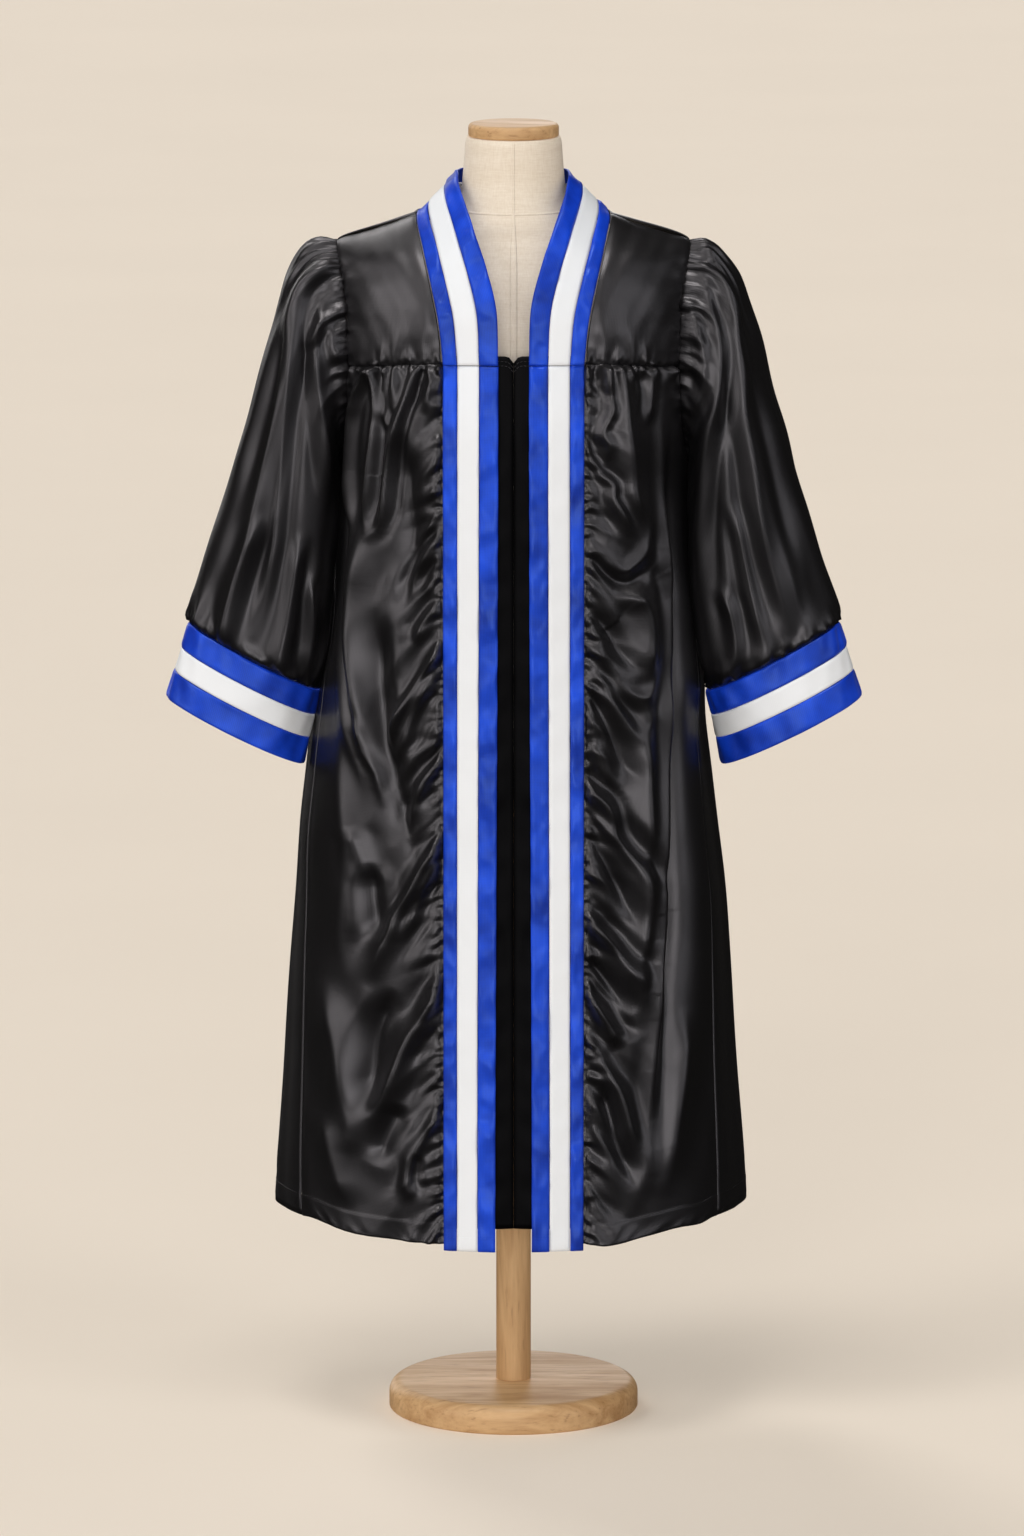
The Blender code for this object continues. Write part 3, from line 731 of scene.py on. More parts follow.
leftCreases = (
    (5.5, 3.6, 0, True, (103, 1261), (107, 1237), (110, 1209), (102, 1185.5), (108, 1168), (105, 1146.5)),
    (5.5, 3.4, 0, True, (150, 1259), (157, 1240), (156, 1209), (154, 1190)),
    (18, 8, 0, True, (122, 1235), (130, 1166), (136, 1111.5), (144, 1060)),
    (6, 3.2, -1, False, (92, 1142), (111, 1125), (113, 1108), (122, 1086), (130.5, 1064)),
    (7, 2, 0, False, (92, 1051.5), (107, 1034), (126, 1023), (143, 1034), (152, 1051.5), (155, 1073),
     (145.5, 1103)),
    (9, -3.5, 0, False, (88, 1050), (110, 1020), (135, 1008), (160, 1025)),
    (17, 7.5, 0, False, (120, 1000), (141.5, 990), (152, 965), (155, 925), (150, 890)),
    (8, -3, 0, False, (92, 985), (115, 945), (135, 915), (152, 905)),
    (8, 2.4, 0, False, (89, 943.5), (108, 912), (129, 885), (150.5, 875.5), (162, 890), (166, 925)),
    (7.5, 2.4, -1, False, (92, 919), (106, 886.5), (125, 852.5), (141, 829), (155, 821.5)),
    (9, -3.6, 0, False, (90, 890), (108, 845), (128, 800), (150, 775)),
    (17, 7, 0, False, (150, 870), (152, 800), (155, 720), (155, 640), (148, 560), (150, 500), (148, 440)),
    (10, 5.5, -1, True, (85.8, 773.7), (107, 752), (120, 713.6), (141.8, 675), (160, 632)),
    (8, -4, 0, False, (88, 720), (110, 680), (130, 640), (150, 600)),
    (10, 5.5, -1, True, (87.8, 623.6), (107, 598), (129, 564), (150.4, 538)),
    (8, -4, 0, False, (88, 580), (110, 545), (135, 510)),
    (10, 5.5, -1, True, (87.8, 529.5), (103, 504), (120, 469.5)),
    (10, 5.5, 0, True, (84, 485), (98.6, 461), (120, 418), (137.4, 363), (146, 335)),
    (9, -5.5, 0, False, (103, 430), (120, 363), (141.8, 305)),
    (7.5, 6.2, -1, False, (171, 1180), (174, 1080), (179, 990), (180, 895), (178, 797), (174, 700),
     (173, 590), (169, 563.5), (165, 487.5), (159, 411), (155.4, 335), (148, 304.5)),
    (15, -6, 0, False, (188, 1150), (192, 1000), (194, 850), (191, 700), (187, 550), (180, 420)),
    (16, 5.5, 0, False, (200, 500), (196, 436), (184, 360), (176, 297)),
)


def hemZ(sideways, low, seed):
    wave = ripple(seed, sideways * 0.27, 0.0, 0.09, 5) * ease((1.0 - sideways) / 0.15)
    return mix(low, gown["hemSide"], ease(sideways)) + gown["hemWave"] * wave


def hemFold(above):
    # the turned-up hem is a little thicker
    return gown["hemRise"] * ease((gown["hemDepth"] - above) / 0.002)


def addFront(label, side, creases, seed):
    def form(across, down):
        top = yokeSeamZ(across) + gown["tuck"]
        place = mix(*front["span"], across)
        point = frontPoint(place, mix(top, hemZ(across, gown["hemFront"], seed), down))
        return swayed(point, side, across)

    def height(across, down):
        points = form(across, down)
        x, z = points[:, 0], points[:, 2]
        top = yokeSeamZ(across) - z
        beside = x - gown["bandOuter"]
        arm = np.where(z > 1.10, armhole(z)[:, 0] - x, 0.1)
        above = z - hemZ(across, gown["hemFront"], seed)
        sideSeam = (1.0 - across) * front["width"]
        total = creaseHeight(creases, x, z, front["deepen"])
        total = total * ease(beside / 0.012 + 0.12) * ease((1.0 - across) / 0.05) * ease(top / 0.010 + 0.2)
        unrest = ripple(seed + 1, x * 1.6, z, 0.150, 7) * ease(np.minimum(beside, sideSeam) / 0.03)
        total += front["unrest"] * unrest
        total += gatherHeight(seed + 10, x, top, *front["yokeGathers"])
        total += gatherHeight(seed + 20, z, beside, *front["bandGathers"])
        total += gatherHeight(seed + 30, x, above, *front["hemGathers"])
        total += gatherHeight(seed + 31, z, arm, *front["armGathers"])
        total = total * seamFade(beside, front["bandFade"]) * seamFade(top, gown["yokeFade"])
        total += seamDip(np.maximum(top, 0), *front["yokeDip"])
        total += seamDip(np.maximum(beside, 0), *front["bandDip"])
        return total + seamDip(sideSeam, *front["sideDip"]) + hemFold(above)

    piece = clothSheet("satin_front_" + label, front["grid"], form, height, front["cut"], side,
                       crowd=1.15)
    attach(piece, blackSatin, "black_satin", "front_" + label)


for label, side, creases, seed in (("right", -1, rightCreases, 100), ("left", 1, leftCreases, 200)):
    addFront(label, side, creases, seed)
print("fronts made")


# gathered back
back = {
    "grid": (150, 130),
    "cut": (1.00, 1.06),
    "width": 0.55,
    "seamSpan": 0.56,
    "unrest": 0.0008,
    "seed": 300,
    # across at the top and the foot as shares, heights of both, width, rise
    "folds": ((0.14, 0.12, 1.12, 0.23, 0.032, 0.0105), (0.26, 0.24, 1.25, 0.23, 0.030, 0.0130),
              (0.38, 0.37, 1.25, 0.23, 0.024, 0.0100), (0.50, 0.51, 1.25, 0.23, 0.030, 0.0125),
              (0.61, 0.63, 1.25, 0.23, 0.024, 0.0105), (0.73, 0.76, 1.25, 0.23, 0.030, 0.0135),
              (0.86, 0.89, 1.12, 0.23, 0.030, 0.0105)),
    "gathers": ((-0.20, 0.20), ((0.0110, 0.026, 0.0046, 0.02, 0.65),
                                (0.0260, 0.180, 0.0085, 0.03, 0.25),
                                (0.0480, 0.620, 0.0120, 0.02, 0.05))),
    "hemGathers": ((-0.27, 0.27), ((0.015, 0.022, 0.0011, 0.45, 0.35),)),
    "yokeDip": (0.0030, 0.0026),
    "sideDip": (0.0030, 0.0008),
}


def backForm(across, down):
    sideways = np.abs(1 - 2 * across)
    top = yokeSeamZ(sideways) + gown["tuck"]
    point = backPoint(sideways, mix(top, hemZ(sideways, gown["hemBack"], back["seed"]), down))
    point = swayed(point, np.sign(1 - 2 * across), sideways)
    point[..., 0] *= np.sign(1 - 2 * across)
    return point


def backHeight(across, down):
    points = backForm(across, down)
    x, z = points[:, 0], points[:, 2]
    sideways = np.abs(1 - 2 * across)
    top = yokeSeamZ(sideways) - z
    above = z - hemZ(sideways, gown["hemBack"], back["seed"])
    edge = np.minimum(across, 1 - across) * back["width"]
    ends = ease(edge / 0.03) * ease(top / 0.02 + 0.15)
    # folds run straight up into the armholes
    widest = math.pi - np.radians(tableAt(gown["sideSeam"], z)[0])
    share = 0.5 + 0.5 * np.sign(across - 0.5) * backSwing(sideways, z) / widest
    total = foldSwell(back["folds"], share, z) * ends
    seamPlace = (share - 0.5) * back["seamSpan"]
    hemPlace = (across - 0.5) * back["width"]
    total += gatherHeight(310, seamPlace, top, *back["gathers"]) * ease(edge / 0.02)
    total += back["unrest"] * ripple(320, share * 0.80, z * 0.35, 0.12, 7) * ends
    total += gatherHeight(322, hemPlace, above, *back["hemGathers"])
    total = total * seamFade(top, gown["yokeFade"])
    return total + seamDip(top, *back["yokeDip"]) + seamDip(edge, *back["sideDip"]) + hemFold(above)


piece = clothSheet("satin_back", back["grid"], backForm, backHeight, back["cut"])
attach(piece, blackSatin, "black_satin", "back")
print("back made")


# smooth yokes
yoke = {
    "frontGrid": (92, 101),
    "backGrid": (101, 50),
    "frontCut": (0.130, 0.185),
    "backCut": (0.430, 0.230),
    "frontSize": (0.11, 0.15),
    "backSize": (0.41, 0.18),
    "seamPuckers": ((0.0078, 0.0075, 0.0028, 0.10, 0.75),
                    (0.0190, 0.026, 0.0026, -0.20, 0.50)),
    "armPuckers": ((0.0085, 0.011, 0.0015, 0.20, 0.6),),
    # where the puckers run along the low seam and along the armhole
    "frontSpans": ((0.085, 0.205), (1.25, 1.38)),
    "backSpans": ((-0.20, 0.20), (0.01, 0.17)),
    "lowDip": (0.0026, 0.0013),
    "topDip": (0.0030, 0.0008),
    # height and length of the smooth waves over the fronts and over the back
    "waves": ((0.0016, 0.085), (0.0005, 0.035)),
    "backWave": (0.0009, 0.10),
}


def frontYokeForm(across, over):
    across = mix(0.006, 1.0, across)
    swing = mix(0.006, math.pi / 2, over)
    arm = armhole(mix(gown["yokeSeamAtArm"], gown["shoulderZ"], np.cos(swing)))
    flat = mix(neckEdge(gown["shoulderStation"] * (1.0 - over), True), arm, across[:, None])
    seam = frontPoint(across, yokeSeamZ(across))
    start = neckEdge(np.zeros_like(across), True)
    foot = mix(start, armhole(np.full_like(across, gown["yokeSeamAtArm"])), across[:, None])
    return flat + (seam - foot) * np.sin(swing)[:, None]


def frontYokeHeight(across, over):
    points = frontYokeForm(across, over)
    width, length = yoke["frontSize"]
    low = (1 - over) * length
    arm = (1 - across) * width
    lowSpan, armSpan = yoke["frontSpans"]
    total = np.zeros_like(low)
    for k, (size, wave) in enumerate(yoke["waves"]):
        total += size * ripple(401 + k, points[:, 0], points[:, 2], wave)
    total += gatherHeight(405, points[:, 0], low, lowSpan, yoke["seamPuckers"])
    total += gatherHeight(404, points[:, 2], arm, armSpan, yoke["armPuckers"])
    total = total * ease((low + 0.0012) / 0.003)
    return (total + seamDip(low, *yoke["lowDip"]) + seamDip(arm) + seamDip(across * width)
            + seamDip(over * length, *yoke["topDip"]))


def backYokeForm(across, over):
    sideways = np.abs(1 - 2 * across)
    share = gown["neckShare"]
    along = np.minimum(sideways / share, 1.0)
    neck = neckEdge(mix(gown["backStation"], gown["shoulderStation"], along), True)
    shoulder = np.array((gown["shoulderX"], 0.0, gown["shoulderZ"]))
    top = mix(neck, shoulder, np.clip((sideways - share) / (1 - share), 0, 1)[:, None])
    top[:, 1] += 2 * gown["seam"]
    z = yokeSeamZ(sideways)
    turn = math.pi - edgeTurn(z) * sideways
    foot = bodyPoint(turn, sideways, z, False)
    swing = over * math.pi / 2
    point = mix(top, foot, np.sin(swing)[:, None])
    point[:, 2] = mix(foot[:, 2], top[:, 2], np.cos(swing))
    arm = armhole(point[:, 2])
    pull = sideways ** 6
    point[:, 0] = mix(point[:, 0], arm[:, 0], pull) * np.sign(1 - 2 * across + 1e-12)
    point[:, 1] = mix(point[:, 1], gown["seam"] - arm[:, 1], pull)
    return point


def backYokeHeight(across, over):
    width, length = yoke["backSize"]
    edge = np.minimum(across, 1 - across) * width
    low, high = (1 - over) * length, over * length
    lowSpan, armSpan = yoke["backSpans"]
    size, wave = yoke["backWave"]
    total = size * ripple(411, across * width, high, wave)
    total += gatherHeight(415, (across - 0.5) * width, low, lowSpan, yoke["seamPuckers"])
    total += gatherHeight(413, high, edge, armSpan, yoke["armPuckers"])
    return total * ease(edge / 0.01) + seamDip(low) + seamDip(edge) + seamDip(high, *yoke["topDip"])


for label, side in sides:
    piece = clothSheet("satin_yoke_" + label, yoke["frontGrid"], frontYokeForm, frontYokeHeight,
                       yoke["frontCut"], side)
    attach(piece, blackSatin, "black_satin", "yoke_front_" + label)
piece = clothSheet("satin_yoke_back", yoke["backGrid"], backYokeForm, backYokeHeight, yoke["backCut"])
attach(piece, blackSatin, "black_satin", "yoke_back")
print("yokes made")


# striped bands down the fronts and round the neck
band = {
    "lowerGrid": (8, 300),
    "neckGrid": (8, 300),
    "wall": 0.0016,
    "width": 0.064,
    "lowerLength": 1.05,
    "neckLength": 0.755,
    "rippleLength": 0.048,
    "puckers": ((0.026, 0.016, 1.5, 0.45, 0.7),),
    "lowest": -0.0007,       # never down to the cloth below
    "edgeDip": (0.0012, 0.0005),
    "endDip": (0.0018, 0.0006),
    # start and end as shares of the width, ripple height
    "ribbons": {"outer": (0.0, 0.26, 0.0013),
                "white": (0.26, 0.653, 0.00018),
                "inner": (0.653, 1.0, 0.0015)},
}


def bandSection(z):
    # the band's outer and inner edge at a height
    halfWidth, ahead, behind = tableAt(gown["body"], z)
    turn = turnAt(gown["bandOuter"], halfWidth)
    outerY = oval(turn, halfWidth, ahead, behind, gown["squareness"])[1]
    down = (gown["yokeSeam"] - z) / (gown["yokeSeam"] - gown["bandFoot"])
    innerX = mix(gown["bandInnerTop"], gown["bandInnerFoot"], ease(down))
    return stack(gown["bandOuter"], outerY, z), stack(innerX, -ahead - gown["bandProud"], z)


def addRibbons(ribbon, start, end, ripples):
    def lowerForm(across, down):
        outer, inner = bandSection(mix(gown["yokeSeam"] - gown["seam"], gown["bandFoot"], down))
        gap = gown["seam"] / np.linalg.norm(outer - inner, axis=-1) / 2
        return mix(outer, inner, mix(end - gap, start + gap, across)[:, None])

    def neckForm(across, along):
        # the stations run up one side of the neck and down the other
        half = 2 * gown["backStation"] * np.minimum(along, 1 - along)
        outer, inner = neckEdge(half, True), neckEdge(half, False)
        gap = gown["seam"] / np.linalg.norm(outer - inner, axis=-1) / 2
        point = mix(outer, inner, mix(start + gap, end - gap, across)[:, None])
        point[:, 0] *= np.where(along <= 0.5, 1.0, -1.0)
        return point

    width = (end - start) * band["width"]

    def surface(seed, length):
        def height(across, along):
            edge = np.minimum(across, 1 - across) * width
            run = along * length
            total = ripples * ripple(seed, across * width * 0.4, run, band["rippleLength"], 6)
            for k, depth in enumerate((across * width, (1 - across) * width)):
                total += ripples * gatherHeight(seed + 4 + k, run, depth, (0.0, length), band["puckers"])
            total = total * mix(0.35, 1.0, ease(edge / 0.004))
            total += 0.0005 * ripple(seed + 2, across * 0.0, run, 0.16, 3)
            ends = np.minimum(along, 1 - along) * length
            total = np.maximum(total, band["lowest"])
            return total + seamDip(edge, *band["edgeDip"]) + seamDip(ends, *band["endDip"])
        return height

    own = int(start * 20)     # so that each ribbon ripples in its own way
    for label, side, seed in (("right", -1, 500), ("left", 1, 530)):
        node = "band_" + label + "_" + ribbon
        piece = clothSheet("ribbon_" + node, band["lowerGrid"], lowerForm,
                           surface(seed + own, band["lowerLength"]),
                           (width, band["lowerLength"]), side, wall=band["wall"])
        attachRibbon(piece, ribbon, node)
    piece = clothSheet("ribbon_collar_" + ribbon, band["neckGrid"], neckForm,
                       surface(560 + own, band["neckLength"]),
                       (width, band["neckLength"]), wall=band["wall"])
    attachRibbon(piece, ribbon, "collar_" + ribbon)


for ribbon, (start, end, ripples) in band["ribbons"].items():
    addRibbons(ribbon, start, end, ripples)
print("bands made")


# the panel behind the bands
insert = {
    "grid": (16, 160),
    "cut": (0.080, 1.020),
    "top": 1.272,
    "foot": 0.258,
    "halfGap": 0.00003,      # at the seam up the middle
    "edge": 0.078,
    "behind": 0.010,
    "edgeBehind": 0.0045,
    "notchDepth": 0.008,
    "notchHalf": 0.006,
    "unrest": 0.0011,
    "middleDip": (0.0025, 0.0010),
    "topDip": (0.0015, 0.0005),
}


def insertForm(across, down):
    x = mix(insert["halfGap"], insert["edge"], across)
    notch = insert["notchDepth"] * np.maximum(0.0, 1.0 - x / insert["notchHalf"])
    z = mix(insert["top"] - notch, insert["foot"], down)
    outer, inner = bandSection(np.minimum(z, gown["yokeSeam"]))
    share = np.maximum(0.0, (x - inner[:, 0]) / (outer[:, 0] - inner[:, 0]))
    line = mix(inner[:, 1], outer[:, 1], share)
    return stack(x, line + mix(insert["behind"], insert["edgeBehind"], ease(x / insert["edge"])), z)


def insertHeight(across, down):
    x, run = across * insert["edge"], down * insert["cut"][1]
    total = insert["unrest"] * ripple(601, x, run, 0.055) * ease(x / 0.012) * ease((0.062 - x) / 0.03)
    return total + seamDip(x, *insert["middleDip"]) + seamDip(run, *insert["topDip"])


for label, side in sides:
    piece = clothSheet("satin_insert_" + label, insert["grid"], insertForm, insertHeight,
                       insert["cut"], side)
    # the darker copy of the satin paints the shade that falls behind the bands
    attach(piece, shadedBlackSatin, "black_satin", "insert_" + label)
print("insert made")


# bell sleeves and cuffs
sleeve = {
    "grid": (360, 100),
    "cut": (0.56, 0.50),
    "seamRadius": 0.100,     # of a circle as long as the armhole
    "length": 0.52,
    "cuffShare": 0.55,       # of the armhole's length, round the cuff
    "deepen": 1.25,
    "tuck": 0.006,
    "overBody": 0.006,
    "loopRoom": 0.004,       # left where a ring of gathers meets its start
    "unrest": 0.0008,
    "armDip": (0.0060, 0.0035),
    "cuffDip": (0.0050, 0.0022),
    # along, over-arm x and z, underarm x and z, half depth, middle y
    "rows": ((0.00, 0.2058, 1.3905, 0.2046, 1.1300, 0.0590, 0.000),
             (0.06, 0.2350, 1.3810, 0.2048, 1.1230, 0.0640, 0.000),
             (0.14, 0.2555, 1.3560, 0.2052, 1.1100, 0.0670, -0.001),
             (0.24, 0.2695, 1.3200, 0.2058, 1.0880, 0.0690, -0.002),
             (0.36, 0.2836, 1.2740, 0.2064, 1.0580, 0.0690, -0.003),
             (0.50, 0.3036, 1.2030, 0.2072, 1.0220, 0.0670, -0.004),
             (0.66, 0.3260, 1.1230, 0.2100, 0.9800, 0.0640, -0.006),
             (0.82, 0.3500, 1.0420, 0.2150, 0.9300, 0.0590, -0.008),
             (0.94, 0.3710, 0.9735, 0.2225, 0.8820, 0.0535, -0.010),
             (1.00, 0.3795, 0.9450, 0.2262, 0.8645, 0.0515, -0.010)),
    "shirring": ((0.0068, 0.034, 0.0032, 0.0, 0.80),
                 (0.0125, 0.060, 0.0046, 0.0, 0.45),
                 (0.0400, 0.300, 0.0060, 0.0, 0.10)),
    "cuffGathers": ((0.0072, 0.012, 0.0030, 0.10, 0.80),
                    (0.0110, 0.020, 0.0040, 0.10, 0.60),
                    (0.0220, 0.055, 0.0052, 0.05, 0.30),
                    (0.0360, 0.240, 0.0048, 0.00, 0.10)),
}
# in the columns of the fronts' folds
rightSleeveCreases = (
    (8, 4.5, 1, False, (266, 1319.5), (283, 1256), (299.5, 1194), (316, 1142), (330.6, 1089)),
    (10, 6.2, 1, True, (212, 1363), (241, 1344), (253.5, 1315), (263, 1270), (272, 1210), (284, 1150),
     (297, 1089), (312, 1030), (330, 970)),
    (8, 5, 1, False, (232.6, 1340), (245, 1319.5), (253.5, 1273), (259, 1225), (265, 1170), (272, 1110),
     (280, 1045), (292, 958)),
    (5.5, 3.4, 0, False, (220, 1346), (235, 1315), (238, 1294), (235, 1281), (226.6, 1294), (222, 1319.5),
     (212, 1323)),
    (8, 5, -1, False, (220, 1315), (228.5, 1273), (226.6, 1232), (222, 1183), (216, 1131), (210, 1089)),
    (5, 2.6, 0, False, (214, 1304), (210, 1277), (203, 1252)),
    (10, 5.5, 1, False, (292, 1075), (318, 1005), (339, 935), (345, 911)),
    (9, 5, 1, False, (248, 1052), (259, 981), (273, 911), (283, 888)),
    (7, 4, 0, False, (236, 1005), (234, 935), (242, 882)),
)
leftSleeveCreases = (
    (7, 4.5, 0, False, (205, 1317), (216, 1284), (221, 1252), (219, 1224), (209, 1202.5), (198, 1195)),
    (9, 6, -1, True, (226.6, 1328), (237, 1284), (239, 1231), (226.6, 1173.5), (217, 1098), (216, 1027),
     (219, 937)),
    (10, 6.2, 1, True, (233.6, 1356), (250, 1313), (258.6, 1252), (264, 1202.5), (276.5, 1130),
     (287, 1062), (305, 991), (326.6, 937)),
    (9, 4.8, 1, False, (257, 1088), (269, 1027), (284, 955), (294, 909)),
    (8, 4.4, 0, False, (241, 991), (255, 955), (258.6, 909), (244, 873)),
    (9, 4.5, 1, False, (272, 1300), (292, 1225), (312, 1150), (332, 1075), (356, 1000)),
)


def armRing(rows, along, turn, dip):
    # a point round the arm, from over the arm by the front to under it
    overX, overZ, underX, underZ, halfDepth, middleY = tableAt(rows, along)
    x = (overX + underX) / 2 + (overX - underX) / 2 * np.cos(turn) - dip * np.sin(turn) ** 2
    z = (overZ + underZ) / 2 + (overZ - underZ) / 2 * np.cos(turn)
    return stack(x, middleY - halfDepth * np.sin(turn), z)


def ringPlace(around, radius):
    return np.cos(around * fullTurn) * radius, np.sin(around * fullTurn) * radius


def sleeveForm(around, along):
    dip = gown["armholeDip"] * (1.0 - ease(along / 0.2))
    turn = -around * fullTurn
    point = armRing(sleeve["rows"], along, turn, dip)
    # tucked under the yoke's edge, and lying over the body at its inner front
    point[..., 0] -= sleeve["tuck"] * hump(along, 0.012)
    inner = np.clip(np.sin(turn), 0, 1) * np.clip(-np.cos(turn), 0, 1) * 2.0
    point[..., 0] -= sleeve["overBody"] * inner * ease((along - 0.02) / 0.15) * ease((1.0 - along) / 0.1)
    return point


def addSleeve(label, side, frontCreases, behindCreases, seed):
    def height(around, along):
        points = sleeveForm(around, along)
        x, z = points[:, 0], points[:, 2]
        swing = np.sin(-around * fullTurn)
        near = along * sleeve["length"]
        far = (1 - along) * sleeve["length"]
        total = np.zeros_like(x)
        for creases, facing in ((frontCreases, swing), (behindCreases, -swing)):
            total += creaseHeight(creases, x, z, sleeve["deepen"]) * np.sqrt(np.clip(facing, 0, 1))
        total = total * ease(near / 0.02 + 0.2) * ease(far / 0.02 + 0.2)
        seam = around * fullTurn * sleeve["seamRadius"]
        loop = fullTurn * sleeve["seamRadius"]
        upper = mix(0.35, 1.0, ease(0.5 + 0.8 * np.cos(around * fullTurn)))
        shirring = gatherHeight(seed, seam, near, (0.0, loop - sleeve["loopRoom"]),
                                sleeve["shirring"], loop)
        total += shirring * upper
        cuffLoop = loop * sleeve["cuffShare"]
        total += gatherHeight(seed + 10, seam * sleeve["cuffShare"], far,
                              (0.0, cuffLoop - sleeve["loopRoom"]), sleeve["cuffGathers"], cuffLoop)
        ring, across = ringPlace(around, 0.08)
        unrest = ripple(seed + 20, ring + near, across - near * 0.6, 0.13, 7) * ease(near / 0.03)
        total += sleeve["unrest"] * unrest
        return total + seamDip(near, *sleeve["armDip"]) + seamDip(far, *sleeve["cuffDip"])

    piece = clothSheet("satin_sleeve_" + label, sleeve["grid"], sleeveForm, height, sleeve["cut"],
                       side, True)
    attach(piece, blackSatin, "black_satin", "sleeve_" + label)


for label, side, ahead, behind, seed in (("right", -1, rightSleeveCreases, leftSleeveCreases, 700),
                                         ("left", 1, leftSleeveCreases, rightSleeveCreases, 740)):
    addSleeve(label, side, ahead, behind, seed)
print("sleeves made")


cuff = {
    "grid": (150, 12),
    "wall": 0.0016,
    "rows": ((0.0, 0.3803, 0.9440, 0.2260, 0.8633, 0.0520, -0.010),
             (1.0, 0.4080, 0.8570, 0.2446, 0.7760, 0.0560, -0.010)),
    "length": 0.44,
    "depth": 0.091,
    "halfGap": 0.003,        # between ribbons, as a share of the depth
    "unrest": 0.0015,
    "edgeDip": (0.0012, 0.0005),
    # start and end as shares of the depth, ripple height
    "ribbons": {"upper": (0.0, 0.33, 0.0016),
                "white": (0.33, 0.637, 0.0007),
                "lower": (0.637, 1.0, 0.0014)},
}


def addCuff(label, side, ribbon, start, end, ripples, seed):
    width = (end - start) * cuff["depth"]

    def form(around, along):
        place = mix(start + cuff["halfGap"], end - cuff["halfGap"], along)
        return armRing(cuff["rows"], place, -around * fullTurn, 0.0)

    def height(around, along):
        edge = np.minimum(along, 1 - along) * width
        bulge, across = ringPlace(around, 0.07)
        level = cuff["unrest"] * ripple(seed, bulge, across, 0.11, 5)
        total = ripples * ripple(seed + 1 + int(start * 10), bulge, across + along * width * 0.3, 0.03, 6)
        return level + total * mix(0.4, 1.0, ease(edge / 0.005)) + seamDip(edge, *cuff["edgeDip"])

    piece = clothSheet("ribbon_cuff_" + label + "_" + ribbon, cuff["grid"], form, height,
                       (cuff["length"], width), side, True, cuff["wall"])
    attachRibbon(piece, ribbon, "cuff_" + label + "_" + ribbon)


for label, side, seed in (("right", -1, 800), ("left", 1, 840)):
    for ribbon, (start, end, ripples) in cuff["ribbons"].items():
        addCuff(label, side, ribbon, start, end, ripples, seed)
print("cuffs made")


# the dress form
torso = {
    "grid": (96, 132),
    "squareness": 2.15,
    "cut": (1.0, 1.0),
    # station, height, half width, front, back
    "rows": ((0, 1.5115, 0.0555, 0.0550, 0.0550), (1, 1.4655, 0.0590, 0.0580, 0.0590),
             (2, 1.4350, 0.0640, 0.0640, 0.0640), (3, 1.4160, 0.0880, 0.0680, 0.0700),
             (4, 1.4000, 0.1330, 0.0700, 0.0760), (5, 1.3750, 0.1700, 0.0780, 0.0850),
             (6, 1.3300, 0.1810, 0.0930, 0.0960), (7, 1.2600, 0.1700, 0.1080, 0.1020),
             (8, 1.2000, 0.1570, 0.1150, 0.1000), (9, 1.1200, 0.1400, 0.1050, 0.0920),
             (10, 1.0300, 0.1200, 0.0910, 0.0850), (11, 0.9200, 0.1440, 0.1030, 0.1030),
             (12, 0.8200, 0.1640, 0.1130, 0.1200), (13, 0.7760, 0.1600, 0.1100, 0.1150),
             (14, 0.7600, 0.1450, 0.0980, 0.1020)),
    "seamWidth": 0.0022,
    "neckWidth": 0.12,       # turns the seams' width into an angle
    "seamRise": 0.0004,
    "neckDip": (0.006, 0.0015),
}


def torsoPoint(turn, station):
    z, halfWidth, ahead, behind = tableAt(torso["rows"], station)
    x, y = oval(turn, halfWidth, ahead, behind, torso["squareness"])
    return stack(x, y, z)


def torsoForm(around, down):
    return torsoPoint(around * fullTurn, torso["rows"][-1][0] * down)


def addTorso():
    piece = clothSheet("linen_form", torso["grid"], torsoForm,
                       lambda around, down: seamDip(down, *torso["neckDip"]), torso["cut"], 1, True, 0.0)
    bm = bmesh.new()
    bm.from_mesh(piece.data)
    bmesh.ops.holes_fill(bm, edges=bm.edges, sides=0)
    bmesh.ops.recalc_face_normals(bm, faces=bm.faces)
    bm.to_mesh(piece.data)
    bm.free()
    shadeSmooth(piece.data, 50.0)
    attach(piece, linen, "natural_linen", "form_torso")


def seamStrip(name, turns, stations, grid, level=False):
    # a narrow welt on the form, between two turns and two stations
    def form(across, down):
        return torsoPoint(mix(turns[0], turns[1], across), mix(stations[0], stations[1], down))

    def height(across, down):
        return torso["seamRise"] * (0.4 + np.sin((down if level else across) * math.pi))

    piece = clothSheet(name, grid, form, height, (torso["seamWidth"], 0.3), wall=0.0008)
    attach(piece, linen, "natural_linen")


addTorso()
halfSeam = torso["seamWidth"] / torso["neckWidth"]
seamStrip("linen_seam_front", (-halfSeam, halfSeam), (0.05, 8.0), (4, 200))
seamStrip("linen_seam_behind", (math.pi - halfSeam, math.pi + halfSeam), (0.05, 13.5), (4, 220))
seamStrip("linen_seam_neck", (-math.pi, math.pi), (2.25, 2.37), (160, 4), True)
print("form made")


# turned oak stand
stand = {
    "sides": 128,
    # radius, foot, top, rounding at the foot and at the top
    "base": (0.14725, 0.0, 0.033, 0.003, 0.015),
    "post": (0.0205, 0.0334, 0.7596, 0.0006, 0.0006),
    "cap": (0.0525, 1.5118, 1.5270, 0.0025, 0.005),
    # the grain's stretch and shift
    "grain": {"base": ((0.10, 1.0, 1.0), (0.0, 0.0, 0.0)),
              "post": ((1.0, 1.0, 0.07), (0.3, 0.1, 0.0)),
              "cap": ((0.12, 1.0, 1.0), (0.7, 0.2, 0.4))},
}


